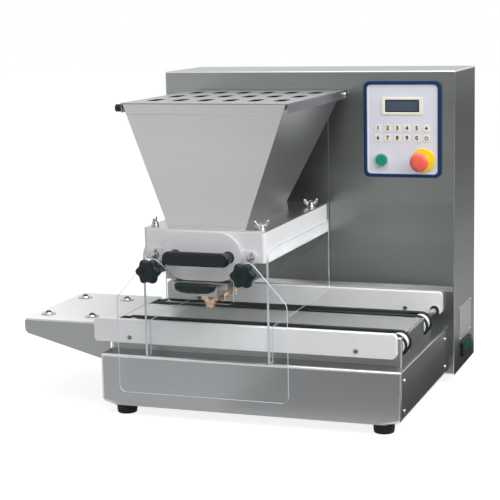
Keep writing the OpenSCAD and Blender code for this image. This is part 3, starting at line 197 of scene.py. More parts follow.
def clear_acrylic(name):
    material, tree, shader = new_material(name)
    haze = noise(tree, (8, 8, 8), detail=2.0)
    paint(tree, shader, haze, (0.955, 0.975, 0.975), (0.985, 0.995, 0.995))
    roughen(tree, shader, haze, 0.005, 0.03)
    shader.inputs["Transmission Weight"].default_value = 1.0
    shader.inputs["IOR"].default_value = 1.18
    return material


# Fine grain of the panel, and a slightly smoother one for the controls and the pale line.
FILM = {"grain": 1200, "bump": 0.04}
CONTROL = {"grain": 1200, "bump": 0.03}

# Each material has its name, colour and roughness first.
MATERIALS = {
    "tower": brushed_steel("tower_steel", (0.305, 0.325, 0.312), 0.30, cloud=0.11, bands=(0.5, 0.5, 10.0)),
    "base": brushed_steel("base_steel", (0.35, 0.36, 0.365), 0.32),
    # The bed's top, walls and right end are one folded sheet in three copies of its steel: the top is
    # painted lighter, the walls darker and the right end darker still, as painted light and shade.
    "bed": brushed_steel("bed_top_lit_steel", (0.64, 0.65, 0.64), 0.34, cloud=0.06, metallic=0.72),
    # The bend steel is a lighter copy of the sheet steels: a painted highlight on rounded edges and bends.
    "bend": brushed_steel("bend_highlight_steel", (0.62, 0.63, 0.64), 0.20, cloud=0.04),
    "bed_end": brushed_steel("bed_end_steel", (0.15, 0.155, 0.16), 0.34),
    "bed_side_shade": brushed_steel("bed_side_shade_steel", (0.36, 0.37, 0.36), 0.36),
    "hopper": brushed_steel("hopper_steel", (0.60, 0.605, 0.60), 0.30, cloud=0.04),
    "lid": brushed_steel("lid_steel", (0.34, 0.35, 0.36), 0.36),
    "bracket": brushed_steel("bracket_steel", (0.34, 0.355, 0.35), 0.42, cloud=0.03, streak=0.02),
    "plain": plain_metal("plain_steel", (0.42, 0.43, 0.43), 0.34),
    "cup": plain_metal("cup_steel", (0.50, 0.505, 0.51), 0.24),
    # The balls are near black steel: a painted dark reflection.
    "ball": plain_metal("ball_dark_reflection_steel", (0.045, 0.05, 0.052), 0.12, grain=(90, 90, 90), bump=0.01),
    "cast": plain_metal("cast_steel", (0.46, 0.47, 0.48), 0.24),
    # A dark steel for screw heads and rims that lie in shade: painted shade.
    "painted_shade": plain_metal("painted_shade_steel", (0.22, 0.225, 0.23), 0.36),
    # Near black steel for the hopper's inner walls and the lid's slot walls: painted shade.
    "inside": brushed_steel("hopper_inside", (0.05, 0.05, 0.05), 0.5, cloud=0.04),
    "bright": plain_metal("bright_steel", (0.66, 0.67, 0.68), 0.18),
    "die": plain_metal("die_metal", (0.40, 0.40, 0.39), 0.36, grain=(300, 20, 300)),
    "bronze": plain_metal("bronze", (0.72, 0.49, 0.33), 0.26, grain=(60, 60, 900)),
    "white": plastic("white_plastic", (0.815, 0.815, 0.83), 0.42, mottle=0.02, grain=700),
    "milky": plastic("milky_plastic", (0.735, 0.735, 0.75), 0.42, mottle=0.02, grain=700),
    # A darker copy of the milky plastic for the cover's edge: painted shade.
    "milky_shaded_edge": plastic("milky_shaded_edge", (0.50, 0.505, 0.515), 0.46, mottle=0.02, grain=700, specular=0.3),
    "black": plastic("black_plastic", (0.008, 0.017, 0.018), 0.38, mottle=0.15, grain=1300, specular=0.25),
    "gloss_black": plastic("gloss_black_plastic", (0.006, 0.012, 0.014), 0.18, mottle=0.15, grain=1300,
                           bump=0.02, specular=0.28),
    "belt": plastic("belt", (0.012, 0.017, 0.017), 0.42, mottle=0.2, grain=1500, bump=0.10, specular=0.3),
    "rubber": plastic("foot_rubber", (0.012, 0.013, 0.014), 0.62, mottle=0.2, grain=1200, bump=0.15,
                      specular=0.25),
    "clear": clear_acrylic("clear_acrylic"),
    "clear_edge": plastic("clear_edge", (0.58, 0.61, 0.64), 0.32, mottle=0.03, grain=600),
    "navy": plastic("panel_blue", (0.005, 0.032, 0.112), 0.30, mottle=0.08, specular=0.25, **FILM),
    "pale": plastic("panel_pale", (0.69, 0.69, 0.77), 0.40, mottle=0.02, specular=0.35, **FILM),
    "cream": plastic("panel_cream", (0.82, 0.78, 0.65), 0.42, mottle=0.03, specular=0.35, **FILM),
    "line": plastic("panel_line", (0.88, 0.88, 0.90), 0.38, mottle=0.02, **CONTROL),
    "glass": plastic("display_glass", (0.060, 0.080, 0.115), 0.14, mottle=0.10, grain=1500, bump=0.02,
                     specular=0.3),
    "ink": plastic("key_ink", (0.012, 0.014, 0.018), 0.45, mottle=0.10, grain=1500, bump=0.03,
                   specular=0.25),
    "green": plastic("green_plastic", (0.004, 0.27, 0.145), 0.24, mottle=0.08, specular=0.3, **CONTROL),
    "dark_green": plastic("rocker_plastic", (0.003, 0.065, 0.053), 0.28, mottle=0.08, specular=0.15,
                          **CONTROL),
    "red": plastic("red_plastic", (0.86, 0.125, 0.09), 0.26, mottle=0.06, **CONTROL),
    "yellow": plastic("yellow_plastic", (0.90, 0.62, 0.012), 0.32, mottle=0.04, **CONTROL),
    "plate": plain_metal("plate_metal", (0.60, 0.61, 0.62), 0.30, grain=(20, 20, 900)),
    "board": plastic("board", (0.012, 0.07, 0.03), 0.45, mottle=0.2, grain=500),
    "motor": plastic("motor_paint", (0.05, 0.053, 0.056), 0.42, mottle=0.1, grain=700),
}


# Building pieces

# Degrees between two faces above which their edge stays crisp.
CRISP = 32


def finish_mesh(name, bm, material, body, stands_for=(), sharp=CRISP):
    """Turns a bmesh into a piece that rides on a body."""
    bmesh.ops.recalc_face_normals(bm, faces=bm.faces)
    mesh = bpy.data.meshes.new(name)
    bm.to_mesh(mesh)
    bm.free()
    mesh.shade_smooth()
    mesh.set_sharp_from_angle(angle=math.radians(sharp))
    mesh.materials.append(MATERIALS[material])
    piece = bpy.data.objects.new(name, mesh)
    bpy.context.scene.collection.objects.link(piece)
    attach(piece, body)
    if stands_for:
        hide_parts(*stands_for)
    return piece


def stand_in(node, kind, bm, material, sharp=CRISP):
    """A piece that stands for a node and takes over its body. The kind ends its name."""
    body = NODES[node]["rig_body"]
    return finish_mesh(f"{node}_{kind}", bm, material, body, (node,), sharp)


def refinish(piece, material, belongs):
    """Gives another material to those faces of a piece that belong to it."""
    index = len(piece.data.materials)
    piece.data.materials.append(MATERIALS[material])
    for face in piece.data.polygons:
        if belongs(face):
            face.material_index = index


def join_rows(bm, rows):
    """Skins the gaps between neighbouring rows of corners, which run around."""
    count = len(rows[0])
    for a, b in zip(rows, rows[1:]):
        for i in range(count):
            j = (i + 1) % count
            bm.faces.new((a[i], a[j], b[j], b[i]))


def add_loft(bm, rings, place=Matrix.Identity(4)):
    """Joins rings of equal length into a closed skin with flat ends."""
    rows = [[bm.verts.new(place @ Vector(p)) for p in ring] for ring in rings]
    join_rows(bm, rows)
    bm.faces.new(rows[0][::-1])
    bm.faces.new(rows[-1])


def add_hoop(bm, rings, place):
    """Joins rings of equal length into a closed hoop, the last ring to the first."""
    rows = [[bm.verts.new(place @ Vector(p)) for p in ring] for ring in rings]
    join_rows(bm, rows + rows[:1])


def ring_of(radius, height, count=64, turn=0.0):
    """A ring around local Z. The radius is a number or a function of the angle."""
    points = []
    for i in range(count):
        angle = 2 * math.pi * i / count + turn
        r = radius(angle) if callable(radius) else radius
        points.append((r * math.cos(angle), r * math.sin(angle), height))
    return points


def facing(point, direction, turn=0.0):
    """A frame at a point whose local Z looks along a direction."""
    z = Vector(direction).normalized()
    x = UP.cross(z)
    if x.length < 0.1:
        x = SIDE.copy()
    x.normalize()
    y = z.cross(x)
    rotation = Matrix((x, y, z)).transposed().to_4x4()
    return Matrix.Translation(point) @ rotation @ Matrix.Rotation(turn, 4, "Z")


def rounded_outline(half_w, half_h, radius, steps=8):
    """Points of a rounded rectangle around the origin, in local X and Y."""
    points = []
    for k, (sx, sy) in enumerate(((1, 1), (-1, 1), (-1, -1), (1, -1))):
        for i in range(steps + 1):
            angle = math.pi / 2 * (k + i / steps)
            points.append((sx * (half_w - radius) + radius * math.cos(angle),
                           sy * (half_h - radius) + radius * math.sin(angle)))
    return points


def add_pillow(bm, place, half_w, half_h, radius, levels, steps=8):
    """A rounded plate along local Z. Each level is a height and how far the outline is drawn in."""
    smallest = 0.2 * MM
    rings = []
    for height, inset in levels:
        corner = max(radius - inset, smallest)
        outline = rounded_outline(half_w - inset, half_h - inset, corner, steps)
        rings.append([(x, y, height) for x, y in outline])
    add_loft(bm, rings, place)


def add_frame_ring(bm, place, outer, inner, levels):
    """A closed frame between two outlines, each half a width, half a height and a corner radius.

    Each level is a height, a step by which the outer outline grows and one for the inner outline.
    """
    sides = [(height, outer, step) for height, step, _ in levels]
    sides += [(height, inner, step) for height, _, step in reversed(levels)]
    rings = []
    for height, outline, step in sides:
        points = rounded_outline(*(size + step for size in outline))
        rings.append([(x, y, height) for x, y in points])
    add_hoop(bm, rings, place)


def moulded(bm, voxel, smooth):
    """Melts overlapping closed skins into one smooth casting."""
    mesh = bpy.data.meshes.new("melt")
    bm.to_mesh(mesh)
    bm.free()
    lump = bpy.data.objects.new("melt", mesh)
    bpy.context.scene.collection.objects.link(lump)
    remesh = lump.modifiers.new("remesh", "REMESH")
    remesh.mode = "VOXEL"
    remesh.voxel_size = voxel
    soften = lump.modifiers.new("soften", "SMOOTH")
    soften.factor = 0.5
    soften.iterations = smooth
    depsgraph = bpy.context.evaluated_depsgraph_get()
    melted = bmesh.new()
    melted.from_object(lump, depsgraph)
    bpy.data.objects.remove(lump)
    bpy.data.meshes.remove(mesh)
    return melted


# Reading the solids

def welded(node):
    """A copy of a solid's mesh with its seams closed and its flat faces whole."""
    seam = 0.002 * MM
    flat = math.radians(0.3)
    bm = bmesh.new()
    bm.from_mesh(NODES[node].data)
    bmesh.ops.remove_doubles(bm, verts=bm.verts, dist=seam)
    bmesh.ops.dissolve_limit(bm, angle_limit=flat, verts=bm.verts, edges=bm.edges)
    return bm


def solids_of(node):
    """The corners of each separate solid in a node."""
    bm = welded(node)
    left = set(bm.verts)
    groups = []
    while left:
        stack = [left.pop()]
        group = []
        while stack:
            vert = stack.pop()
            group.append(vert.co.copy())
            for edge in vert.link_edges:
                other = edge.other_vert(vert)
                if other in left:
                    left.remove(other)
                    stack.append(other)
        groups.append(group)
    bm.free()
    return groups


def span(corners):
    """The lowest and highest corner of the box around some points."""
    low = Vector(min(p[i] for p in corners) for i in range(3))
    high = Vector(max(p[i] for p in corners) for i in range(3))
    return low, high


def middle(node):
    low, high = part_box(node)
    return (low + high) / 2


def within(point, box, margin, axes=(0, 1, 2)):
    """Whether a point lies in a box that is grown by a margin, along the axes named."""
    low, high = box
    return all(low[i] - margin < point[i] < high[i] + margin for i in axes)


def back_frame(box):
    """A frame at the middle of a box's back that looks to the front."""
    low, high = box
    centre = (low + high) / 2
    return facing(Vector((centre.x, high.y, centre.z)), FRONT)


# Solids that keep their own shape, with finer edges

# Angle from which an edge is rounded, and its shortest length in widths of the rounding.
CORNER = math.radians(30)
SHORTEST = 2.2


def sharp_edges(bm):
    """Edges where two faces meet at a corner."""
    return [e for e in bm.edges if len(e.link_faces) == 2 and e.calc_face_angle(0) > CORNER]


def follow_broad_faces(piece):
    """Lets the shading follow the broad faces of a piece."""
    weights = piece.modifiers.new("face_weights", "WEIGHTED_NORMAL")
    weights.keep_sharp = True


def softened(node, material, width, shortest=SHORTEST, around=()):
    """The node's own solid with its sharp edges rounded.

    Edges shorter than a number of widths stay sharp, and so do those around the nodes named.
    """
    bm = welded(node)
    spared = [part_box(other) for other in around]
    near = 3 * MM

    def is_spared(e):
        spot = (e.verts[0].co + e.verts[1].co) / 2
        return any(within(spot, box, near, axes=(0, 2)) for box in spared)

    edges = [e for e in sharp_edges(bm) if e.calc_length() > shortest * width and not is_spared(e)]
    bmesh.ops.bevel(bm, geom=edges, offset=width, offset_type="OFFSET", segments=3, profile=0.5,
                    affect="EDGES", clamp_overlap=False)
    piece = stand_in(node, "finish", bm, material)
    follow_broad_faces(piece)
    return piece


def bent_sheet(node, material, bend, edge):
    """The node's own sheet with wide bends between its broad faces and finer edges elsewhere, all rounded
    edges in a lighter steel as a painted highlight.
    """
    broad = 8 * MM
    bm = welded(node)
    weight = bm.edges.layers.float.new("bevel_weight_edge")
    depth = {f: f.calc_area() / max(e.calc_length() for e in f.edges) for f in bm.faces}
    for e in sharp_edges(bm):
        is_bend = e.is_convex and min(depth[f] for f in e.link_faces) > broad
        width = bend if is_bend else edge
        if e.calc_length() > SHORTEST * width:
            e[weight] = width / bend
    piece = stand_in(node, "finish", bm, material)
    # The rounded edges get the lighter bend steel as a painted highlight.
    bend_index = len(piece.data.materials)
    piece.data.materials.append(MATERIALS["bend"])
    rounding = piece.modifiers.new("rounding", "BEVEL")
    rounding.limit_method = "WEIGHT"
    rounding.offset_type = "OFFSET"
    rounding.width = bend
    rounding.segments = 4
    rounding.use_clamp_overlap = False
    rounding.material = bend_index
    follow_broad_faces(piece)
    return piece


def dress(node, material):
    """Gives a solid that keeps its own mesh its finish."""
    mesh = NODES[node].data
    mesh.materials.clear()
    mesh.materials.append(MATERIALS[material])


# Finish of each solid: material and the rounding of its edges in millimetres, 0 to leave it as it is.
FINISH = {
    "base_floor": ("plain", 0), "tower_back": ("tower", 0), "head_plate": ("tower", 0.6),
    "front_rail": ("white", 1.6), "rear_rail": ("white", 1.6),
    "shelf_plate": ("white", 0.8), "shelf_brackets": ("bracket", 0.5),
    "belts": ("belt", 0), "bearings": ("plain", 0),
    "conveyor_motor": ("motor", 0), "feed_motor": ("motor", 0),
    "head_studs": ("bright", 0), "die_rails": ("plain", 0.5), "lid_pivots": ("bright", 0),
    "panel_frame": ("navy", 1.5), "panel_face": ("pale", 0.3), "keypad": ("cream", 0),
    "electronics": ("board", 0), "switch_housing": ("black", 0.8), "data_plate": ("plate", 0.2),
    "power_inlet": ("black", 0.6), "stop_collar": ("yellow", 0.6), "start_ring": ("bright", 0.5),
    "lid_knob": ("black", 1.2), "drive_shaft": ("bright", 0), "idler_shaft": ("bright", 0),
    "feed_roller_a": ("plain", 0), "feed_roller_b": ("plain", 0),
    "feed_gear_a": ("plain", 0), "feed_gear_b": ("plain", 0), "die_block": ("die", 0.8),
    "ball_1": ("ball", 0), "ball_2": ("ball", 0), "ball_3": ("ball", 0), "ball_4": ("ball", 0),
    "main_rocker": ("dark_green", 0.7),
}


def finish_solids():
    for node, (material, width) in FINISH.items():
        if width:
            softened(node, material, width * MM)
        else:
            dress(node, material)


def slotted_lid():
    """The lid, with painted shade on the walls of its slots."""
    lid = softened("lid", "lid", 0.4 * MM)
    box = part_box("lid")
    rim = 14 * MM

    def in_slot(face):
        return within(face.center, box, -rim, axes=(0, 1)) and abs(face.normal.z) < 0.8

    refinish(lid, "inside", in_slot)


def front_cover():
    """The front cover, whose milled edge is a little duller than its face and darker, as painted shade."""
    cover = softened("front_cover", "milky", 0.9 * MM)
    refinish(cover, "milky_shaded_edge", lambda face: abs(face.normal.y) < 0.9)


def transfer_cups():
    """The pressed cups of the ball units, with painted shade on their outer rim."""
    cups = softened("ball_cups", "cup", 0.3 * MM, shortest=1.5)
    # Painted shade on the cups' outer rims.
    refinish(cups, "painted_shade", lambda face: abs(face.normal.z) < 0.4)


def belt_bed():
    """The folded bed in lit and shaded copies of one steel: a lighter top under the trays, walls in painted
    shade and a right end in deeper painted shade.
    """
    bed = bent_sheet("conveyor_bed", "bed", 4 * MM, 0.6 * MM)
    # Painted shade on the walls and, darker, on the right end.
    refinish(bed, "bed_side_shade", lambda face: face.normal.z < 0.3)
    refinish(bed, "bed_end", lambda face: face.normal.x > 0.8)


def hopper_shell():
    """The hopper, polished outside, with painted shade on its inner walls."""
    shell = softened("hopper", "hopper", 0.6 * MM)
    axis = middle("lid")

    def looks_in(face):
        across = face.center - axis
        inward = face.normal.x * across.x + face.normal.y * across.y < -0.02
        return inward and abs(face.normal.z) < 0.9

    refinish(shell, "inside", looks_in)


def clear_guards():
    """Clear sheets whose sawn edges are frosted."""
    for node, thickness_axis in (("guard_front", 1), ("guard_sides", 0)):
        sheet = softened(node, "clear", 0.4 * MM)
        refinish(sheet, "clear_edge", lambda face: abs(face.normal[thickness_axis]) < 0.7)
        sheet.visible_shadow = False


# Moulded and cast pieces

def star_knob(node):
    """A six-lobed clamping knob with a crowned face, a round hub and a blind hole for its stud."""
    low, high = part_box(node)
    centre = middle(node)
    radius = (high.x - low.x) / 2
    depth = high.y - low.y
    hub = 0.46 * radius
    waist = 0.8 * radius
    lobes = 6
    sides = 96
    spots = [(math.hypot(p.x - centre.x, p.z - centre.z), high.y - p.y) for p in solids_of(node)[0]]
    bore = min(spots)[0]
    thread = max(height for radial, height in spots if radial < 1.05 * bore)

    def star(size, starness):
        def radius_at(angle):
            lobe = radius * (0.905 + 0.095 * math.cos(lobes * angle))
            return size * (starness * lobe + (1 - starness) * waist)
        return radius_at

    # Share of the depth, share of the size, and how far the outline is a star.
    levels = ((0.36, 0.80, 0.6), (0.385, 0.92, 0.9), (0.44, 0.985, 1), (0.50, 1, 1), (0.80, 1, 1),
              (0.87, 0.98, 1), (0.93, 0.92, 1), (0.97, 0.82, 0.9), (0.995, 0.66, 0.6), (1.0, 0.46, 0.2),
              (0.985, 0.40, 0), (0.975, 0.36, 0), (0.98, 0.18, 0))
    stem = ((bore, thread), (bore, 0), (hub, 0), (hub, 0.30 * depth))
    rings = [ring_of(r, h, sides) for r, h in stem]
    rings += [ring_of(star(size, starness), level * depth, sides) for level, size, starness in levels]
    bm = bmesh.new()
    add_loft(bm, rings, back_frame((low, high)))
    stand_in(node, "moulding", bm, "black", sharp=50)


def bridge_handle():
    """A moulded bridge handle: a round-edged bar on two flared posts."""
    low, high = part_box("cover_handle")
    half_w = (high.x - low.x) / 2
    half_h = (high.z - low.z) / 2
    reach = high.y - low.y
    bar = 15 * MM
    edge = 6 * MM
    post_x = half_w - 15.5 * MM
    place = back_frame((low, high))
    bm = bmesh.new()
    rear = [(reach - bar + edge * (1 - math.cos(a)), edge * (1 - math.sin(a)))
            for a in (0, 0.4, 0.8, 1.2, math.pi / 2)]
    front = [(reach - edge + edge * math.sin(a), edge * (1 - math.cos(a)))
             for a in (0, 0.4, 0.8, 1.2, 1.45)]
    add_pillow(bm, place, half_w, half_h, half_h - 0.5 * MM, rear + front, steps=12)
    # Radius and height of a post in millimetres, from its foot into the bar.
    post = ((13.5, 0), (13.2, 2), (11.6, 4.5), (10.6, 8), (10.4, 18), (11.5, 24), (13, 28), (13.4, 34))
    for side in (-1, 1):
        foot = place @ Matrix.Translation((side * post_x, 0, 0))
        add_loft(bm, [ring_of(r * MM, h * MM, 40) for r, h in post], foot)
    melted = moulded(bm, 0.8 * MM, smooth=8)
    stand_in("cover_handle", "moulding", melted, "gloss_black", sharp=80)


def lens_outline(half_w, half_h, count=64):
    """A grip's outline: a nearly straight top and a bowed lower edge."""
    points = []
    shoulder = 0.4 * half_h
    for i in range(count):
        angle = 2 * math.pi * (i + 0.5) / count
        c, s = math.cos(angle), math.sin(angle)
        bow = 0.4 if s > 0 else 0.75
        side = 0.4 if s > 0 else 0.62
        x = math.copysign(half_w * abs(c) ** side, c)
        y = shoulder + math.copysign(abs(s) ** bow * (half_h - math.copysign(shoulder, s)), s)
        points.append((x, y))
    return points


def die_grip():
    """A crowned grip bar on a narrower neck."""
    low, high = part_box("die_grip")
    half_w = (high.x - low.x) / 2
    half_h = (high.z - low.z) / 2
    reach = high.y - low.y
    bar = 18 * MM
    neck_w = half_w - 15 * MM
    neck_h = 5 * MM
    place = back_frame((low, high))
    bm = bmesh.new()
    add_pillow(bm, place, neck_w, neck_h, neck_h - 0.5 * MM, ((0, 0), (reach - 0.7 * bar, 0)), steps=12)
    rings = []
    for t in (0.02, 0.08, 0.2, 0.35, 0.5, 0.65, 0.8, 0.9, 0.96, 0.985):
        inset = 0.8 * half_h * (1 - math.sqrt(1 - (2 * t - 1) ** 2))
        outline = lens_outline(half_w - inset, half_h - inset)
        rings.append([(x, y, reach - bar * (1 - t)) for x, y in outline])
    add_loft(bm, rings, place)
    melted = moulded(bm, 0.7 * MM, smooth=5)
    stand_in("die_grip", "moulding", melted, "gloss_black", sharp=80)


def wing_nuts():
    """Cast wing nuts on the studs of the cover and of the hopper flange."""
    block = middle("head_block")
    block_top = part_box("head_block")[1].z
    front_turn, left_turn, flange_turn = math.radians(65), math.radians(100), math.radians(35)
    bm = bmesh.new()
    for corners in solids_of("wing_nuts"):
        low, high = span(corners)
        centre = (low + high) / 2
        if centre.z > block_top:
            left_front = centre.x < block.x and centre.y < block.y
            seat = Vector((centre.x, centre.y, low.z))
            place = facing(seat, UP, left_turn if left_front else flange_turn)
        else:
            place = facing(Vector((centre.x, high.y, centre.z)), FRONT, front_turn)
        one_wing_nut(bm, place)
    melted = moulded(bm, 0.55 * MM, smooth=3)
    stand_in("wing_nuts", "casting", melted, "cast", sharp=80)


def one_wing_nut(bm, place):
    # Radius and height of the body, then the sections of a wing: out, up, half its length and thickness.
    body = ((8.6, 0), (8.6, 1.5), (7.6, 4), (6.8, 8.5), (6.2, 9.6))
    wing = ((4.5, 4.5, 4.0, 2.6), (8.5, 7.5, 4.0, 2.0), (12.0, 11.0, 4.6, 1.7),
            (14.2, 14.6, 4.4, 1.6), (15.4, 17.2, 3.0, 1.5), (15.9, 18.4, 1.4, 1.2))
    sides = 16
    add_loft(bm, [ring_of(r * MM, h * MM, 32) for r, h in body], place)
    for side in (0, math.pi):
        rings = []
        for step, (out, up, half_long, half_thick) in enumerate(wing):
            lean = math.radians(20 + 12 * step)
            across = Vector((math.sin(lean), 0, -math.cos(lean)))
            ring = []
            for i in range(sides):
                angle = 2 * math.pi * i / sides
                spot = Vector((out, 0, up)) + across * half_long * math.cos(angle)
                spot.y = half_thick * math.sin(angle)
                ring.append(tuple(spot * MM))
            rings.append(ring)
        add_loft(bm, rings, place @ Matrix.Rotation(side, 4, "Z"))


# Turned pieces

def screws():
    """Low button heads with a hexagon socket, each on its own shank. Those in the rails are darker, as
    painted shade.
    """
    bm = bmesh.new()
    for corners in solids_of("screws"):
        low, high = span(corners)
        size = high - low
        centre = (low + high) / 2
        axis = max(range(3), key=lambda i: size[i])
        wide = 0.4 * min(size)
        head = []
        for p in corners:
            along = p[axis] - centre[axis]
            if (p - centre).length_squared - along ** 2 > wide ** 2:
                head.append(p[axis])
        outward = Vector((0, 0, 0))
        outward[axis] = 1 if sum(head) / len(head) > centre[axis] else -1
        start = centre.copy()
        start[axis] = low[axis] if outward[axis] > 0 else high[axis]
        one_screw(bm, facing(start, outward), size[axis], min(size) / 2)
    piece = stand_in("screws", "turned", bm, "bright", sharp=40)
    rails = [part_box("front_rail"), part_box("rear_rail")]
    proud = 4 * MM
    # Screws in the rails get the darker steel as painted shade.
    refinish(piece, "painted_shade", lambda face: any(within(face.center, rail, proud) for rail in rails))


def one_screw(bm, place, length, radius):
    head = 2.5 * MM
    seat = length - head
    shank = 0.49 * radius
    sides = 36

    def hexagon(angle):
        return 0.31 * radius / math.cos((angle + math.pi / 6) % (math.pi / 3) - math.pi / 6)

    # Shares of the head's radius and height.
    dome = ((1, 0), (1, 0.25), (0.95, 0.55), (0.82, 0.82), (0.62, 0.97), (0.45, 1))
    rings = [ring_of(shank, 0, sides), ring_of(shank, seat, sides)]
    rings += [ring_of(r * radius, seat + h * head, sides) for r, h in dome]
    rings += [ring_of(hexagon, seat + head, sides), ring_of(hexagon, seat + 0.35 * head, sides)]
    add_loft(bm, rings, place)


def nozzles():
    """Turned bronze nozzles with a collar, a groove, a cone and a star-cut mouth."""
    low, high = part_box("nozzles")
    die_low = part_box("die_block")[0].z
    bm = bmesh.new()
    for corners in solids_of("nozzles"):
        centre_y = (min(p.y for p in corners) + max(p.y for p in corners)) / 2
        place = Matrix.Translation(Vector(((low.x + high.x) / 2, centre_y, low.z)))
        one_nozzle(bm, place, (high.x - low.x) / 2, die_low - low.z, high.z - die_low)
    stand_in("nozzles", "turned", bm, "bronze", sharp=40)


def one_nozzle(bm, place, radius, drop, spigot):
    spigot_radius = 0.66 * radius
    bore = 0.42 * radius
    cuts = 8
    sides = 96

    def star(size, depth):
        def radius_at(angle):
            return size * (1 - depth * (0.5 - 0.5 * math.cos(cuts * angle)))
        return radius_at

    # Shares of the radius and of the drop below the die, and for the tip the depth of its star.
    collar = ((1, 1), (1, 0.98), (1, 0.86), (0.94, 0.84), (0.94, 0.80), (1, 0.78), (1, 0.66), (0.97, 0.635),
              (0.86, 0.61), (0.80, 0.52), (0.70, 0.38))
    tip = ((0.62, 0.26, 0.03), (0.55, 0.14, 0.16), (0.50, 0.05, 0.26), (0.475, 0.0, 0.30),
           (0.40, 0.0, 0.34), (0.39, 0.06, 0.30), (0.42, 0.20, 0.06))
    rings = [ring_of(spigot_radius, drop + spigot, sides), ring_of(spigot_radius, drop, sides)]
    rings += [ring_of(r * radius, h * drop, sides) for r, h in collar]
    rings += [ring_of(star(r * radius, cut), h * drop, sides) for r, h, cut in tip]
    rings += [ring_of(bore, h * drop, sides) for h in (0.4, 0.7)]
    add_loft(bm, rings, place)


def pulleys(node):
    """Turned pulleys with low rims, so that the round belts stand well proud in their grooves."""
    groove = 4.3 * MM
    groove_to_side = 8 * MM
    groove_steps = 12
    chamfer = 0.6 * MM
    solid_rim = 1 * MM
    rim_drop = 1.3 * MM
    reach = math.acos(rim_drop / groove)
    bm = bmesh.new()
    for corners in solids_of(node):
        low, high = span(corners)
        centre = (low + high) / 2
        width = high.y - low.y
        pitch = (high.x - low.x) / 2 - solid_rim
        rim = pitch - rim_drop
        bore = min(math.hypot(p.x - centre.x, p.z - centre.z) for p in corners)
        profile = [(bore, 0), (rim - chamfer, 0), (rim, chamfer)]
        for along in (groove_to_side, width - groove_to_side):
            for i in range(groove_steps + 1):
                angle = reach * (2 * i / groove_steps - 1)
                profile.append((pitch - groove * math.cos(angle), along + groove * math.sin(angle)))
        profile += [(rim, width - chamfer), (rim - chamfer, width), (bore, width)]
        add_hoop(bm, [ring_of(r, h, 72) for r, h in profile], back_frame((low, high)))
    stand_in(node, "turned", bm, "white", sharp=40)


def feet():
    """Rubber feet with a moulded rib and a rounded sole, each with its stud."""
    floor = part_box("base_floor")[0].z
    stud = 4 * MM
    sides = 56
    # Shares of the radius and of the height below the base.
    profile = ((0.80, 0), (0.86, 0.03), (0.89, 0.10), (0.91, 0.30), (0.93, 0.34), (0.93, 0.42),
               (0.92, 0.46), (0.95, 0.72), (1.0, 0.80), (1.0, 0.93), (0.97, 1.0))
    bm = bmesh.new()
    for corners in solids_of("feet"):
        low, high = span(corners)
        radius = (high.x - low.x) / 2
        rings = [ring_of(r * radius, low.z + h * (floor - low.z), sides) for r, h in profile]
        rings += [ring_of(stud, floor, sides), ring_of(stud, high.z, sides)]
        place = Matrix.Translation(Vector(((low.x + high.x) / 2, (low.y + high.y) / 2, 0)))
        add_loft(bm, rings, place)
    stand_in("feet", "moulding", bm, "rubber", sharp=50)


# Control panel

def stop_button():
    """A mushroom button with a domed cap and a fine rim."""
    low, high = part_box("stop_button")
    radius = (high.z - low.z) / 2
    reach = high.y - low.y
    stem = 7 * MM
    cap = 14 * MM
    # Shares of the radius, and of the cap's height counted back from its front.
    dome = ((0.84, 1), (0.88, 0.96), (0.97, 0.66), (1, 0.55), (1, 0.47), (0.97, 0.38), (0.88, 0.22),
            (0.72, 0.09), (0.5, 0.02), (0.25, 0))
    profile = [(stem, 0), (stem, reach - cap)]
    profile += [(r * radius, reach - h * cap) for r, h in dome]
    bm = bmesh.new()
    add_loft(bm, [ring_of(r, h, 72) for r, h in profile], back_frame((low, high)))
    stand_in("stop_button", "cap", bm, "red", sharp=40)


def start_button():
    """A push button with a rounded edge and a slightly hollow face."""
    low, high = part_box("start_button")
    radius = (high.z - low.z) / 2
    reach = high.y - low.y
    stem = 8.9 * MM
    cap = 3.7 * MM
    # Share of the radius, and millimetres back from the front.
    face = ((1, 1.2), (0.97, 0.5), (0.90, 0.1), (0.80, 0), (0.5, 0.25), (0.2, 0.4))
    profile = [(stem, 0), (stem, reach - cap), (radius, reach - cap)]
    profile += [(r * radius, reach - h * MM) for r, h in face]
    bm = bmesh.new()
    add_loft(bm, [ring_of(r, h, 64) for r, h in profile], back_frame((low, high)))
    stand_in("start_button", "cap", bm, "green", sharp=40)


def display_window():
    """A dark window set back in a cream surround, with a black border ring as painted shade of the recess.
    """
    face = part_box("panel_face")[0].y
    low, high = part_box("display")
    centre = middle("display")
    glass_w = (high.x - low.x) / 2
    glass_h = (high.z - low.z) / 2
    back = face - high.y
    place = facing(Vector((centre.x, face, centre.z)), FRONT)

    bm = bmesh.new()
    levels = ((back, 0), (0.1 * MM, 0), (0.3 * MM, 0.2 * MM))
    add_pillow(bm, place, glass_w, glass_h, 1 * MM, levels, steps=4)
    stand_in("display", "glass", bm, "glass")

    bm = bmesh.new()
    outer = (glass_w + 8 * MM, glass_h + 5.5 * MM, 3 * MM)
    inner = (glass_w, glass_h, 1.2 * MM)
    levels = ((0, 0, 0), (1.2 * MM, 0, 0.2 * MM), (1.6 * MM, -0.5 * MM, 0.8 * MM))
    add_frame_ring(bm, place, outer, inner, levels)
    finish_mesh("display_surround", bm, "cream", "machine", sharp=25)

    # A black ring along the window's edge: painted shade.
    bm = bmesh.new()
    border = 2.6 * MM
    gap = 0.3 * MM
    outer = (glass_w - gap, glass_h - gap, 1 * MM)
    inner = (glass_w - border, glass_h - border, 0.6 * MM)
    add_frame_ring(bm, place, outer, inner, ((0.15 * MM, 0, 0), (0.45 * MM, -0.1 * MM, 0.1 * MM)))
    finish_mesh("display_shade_border", bm, "ink", "machine", sharp=25)


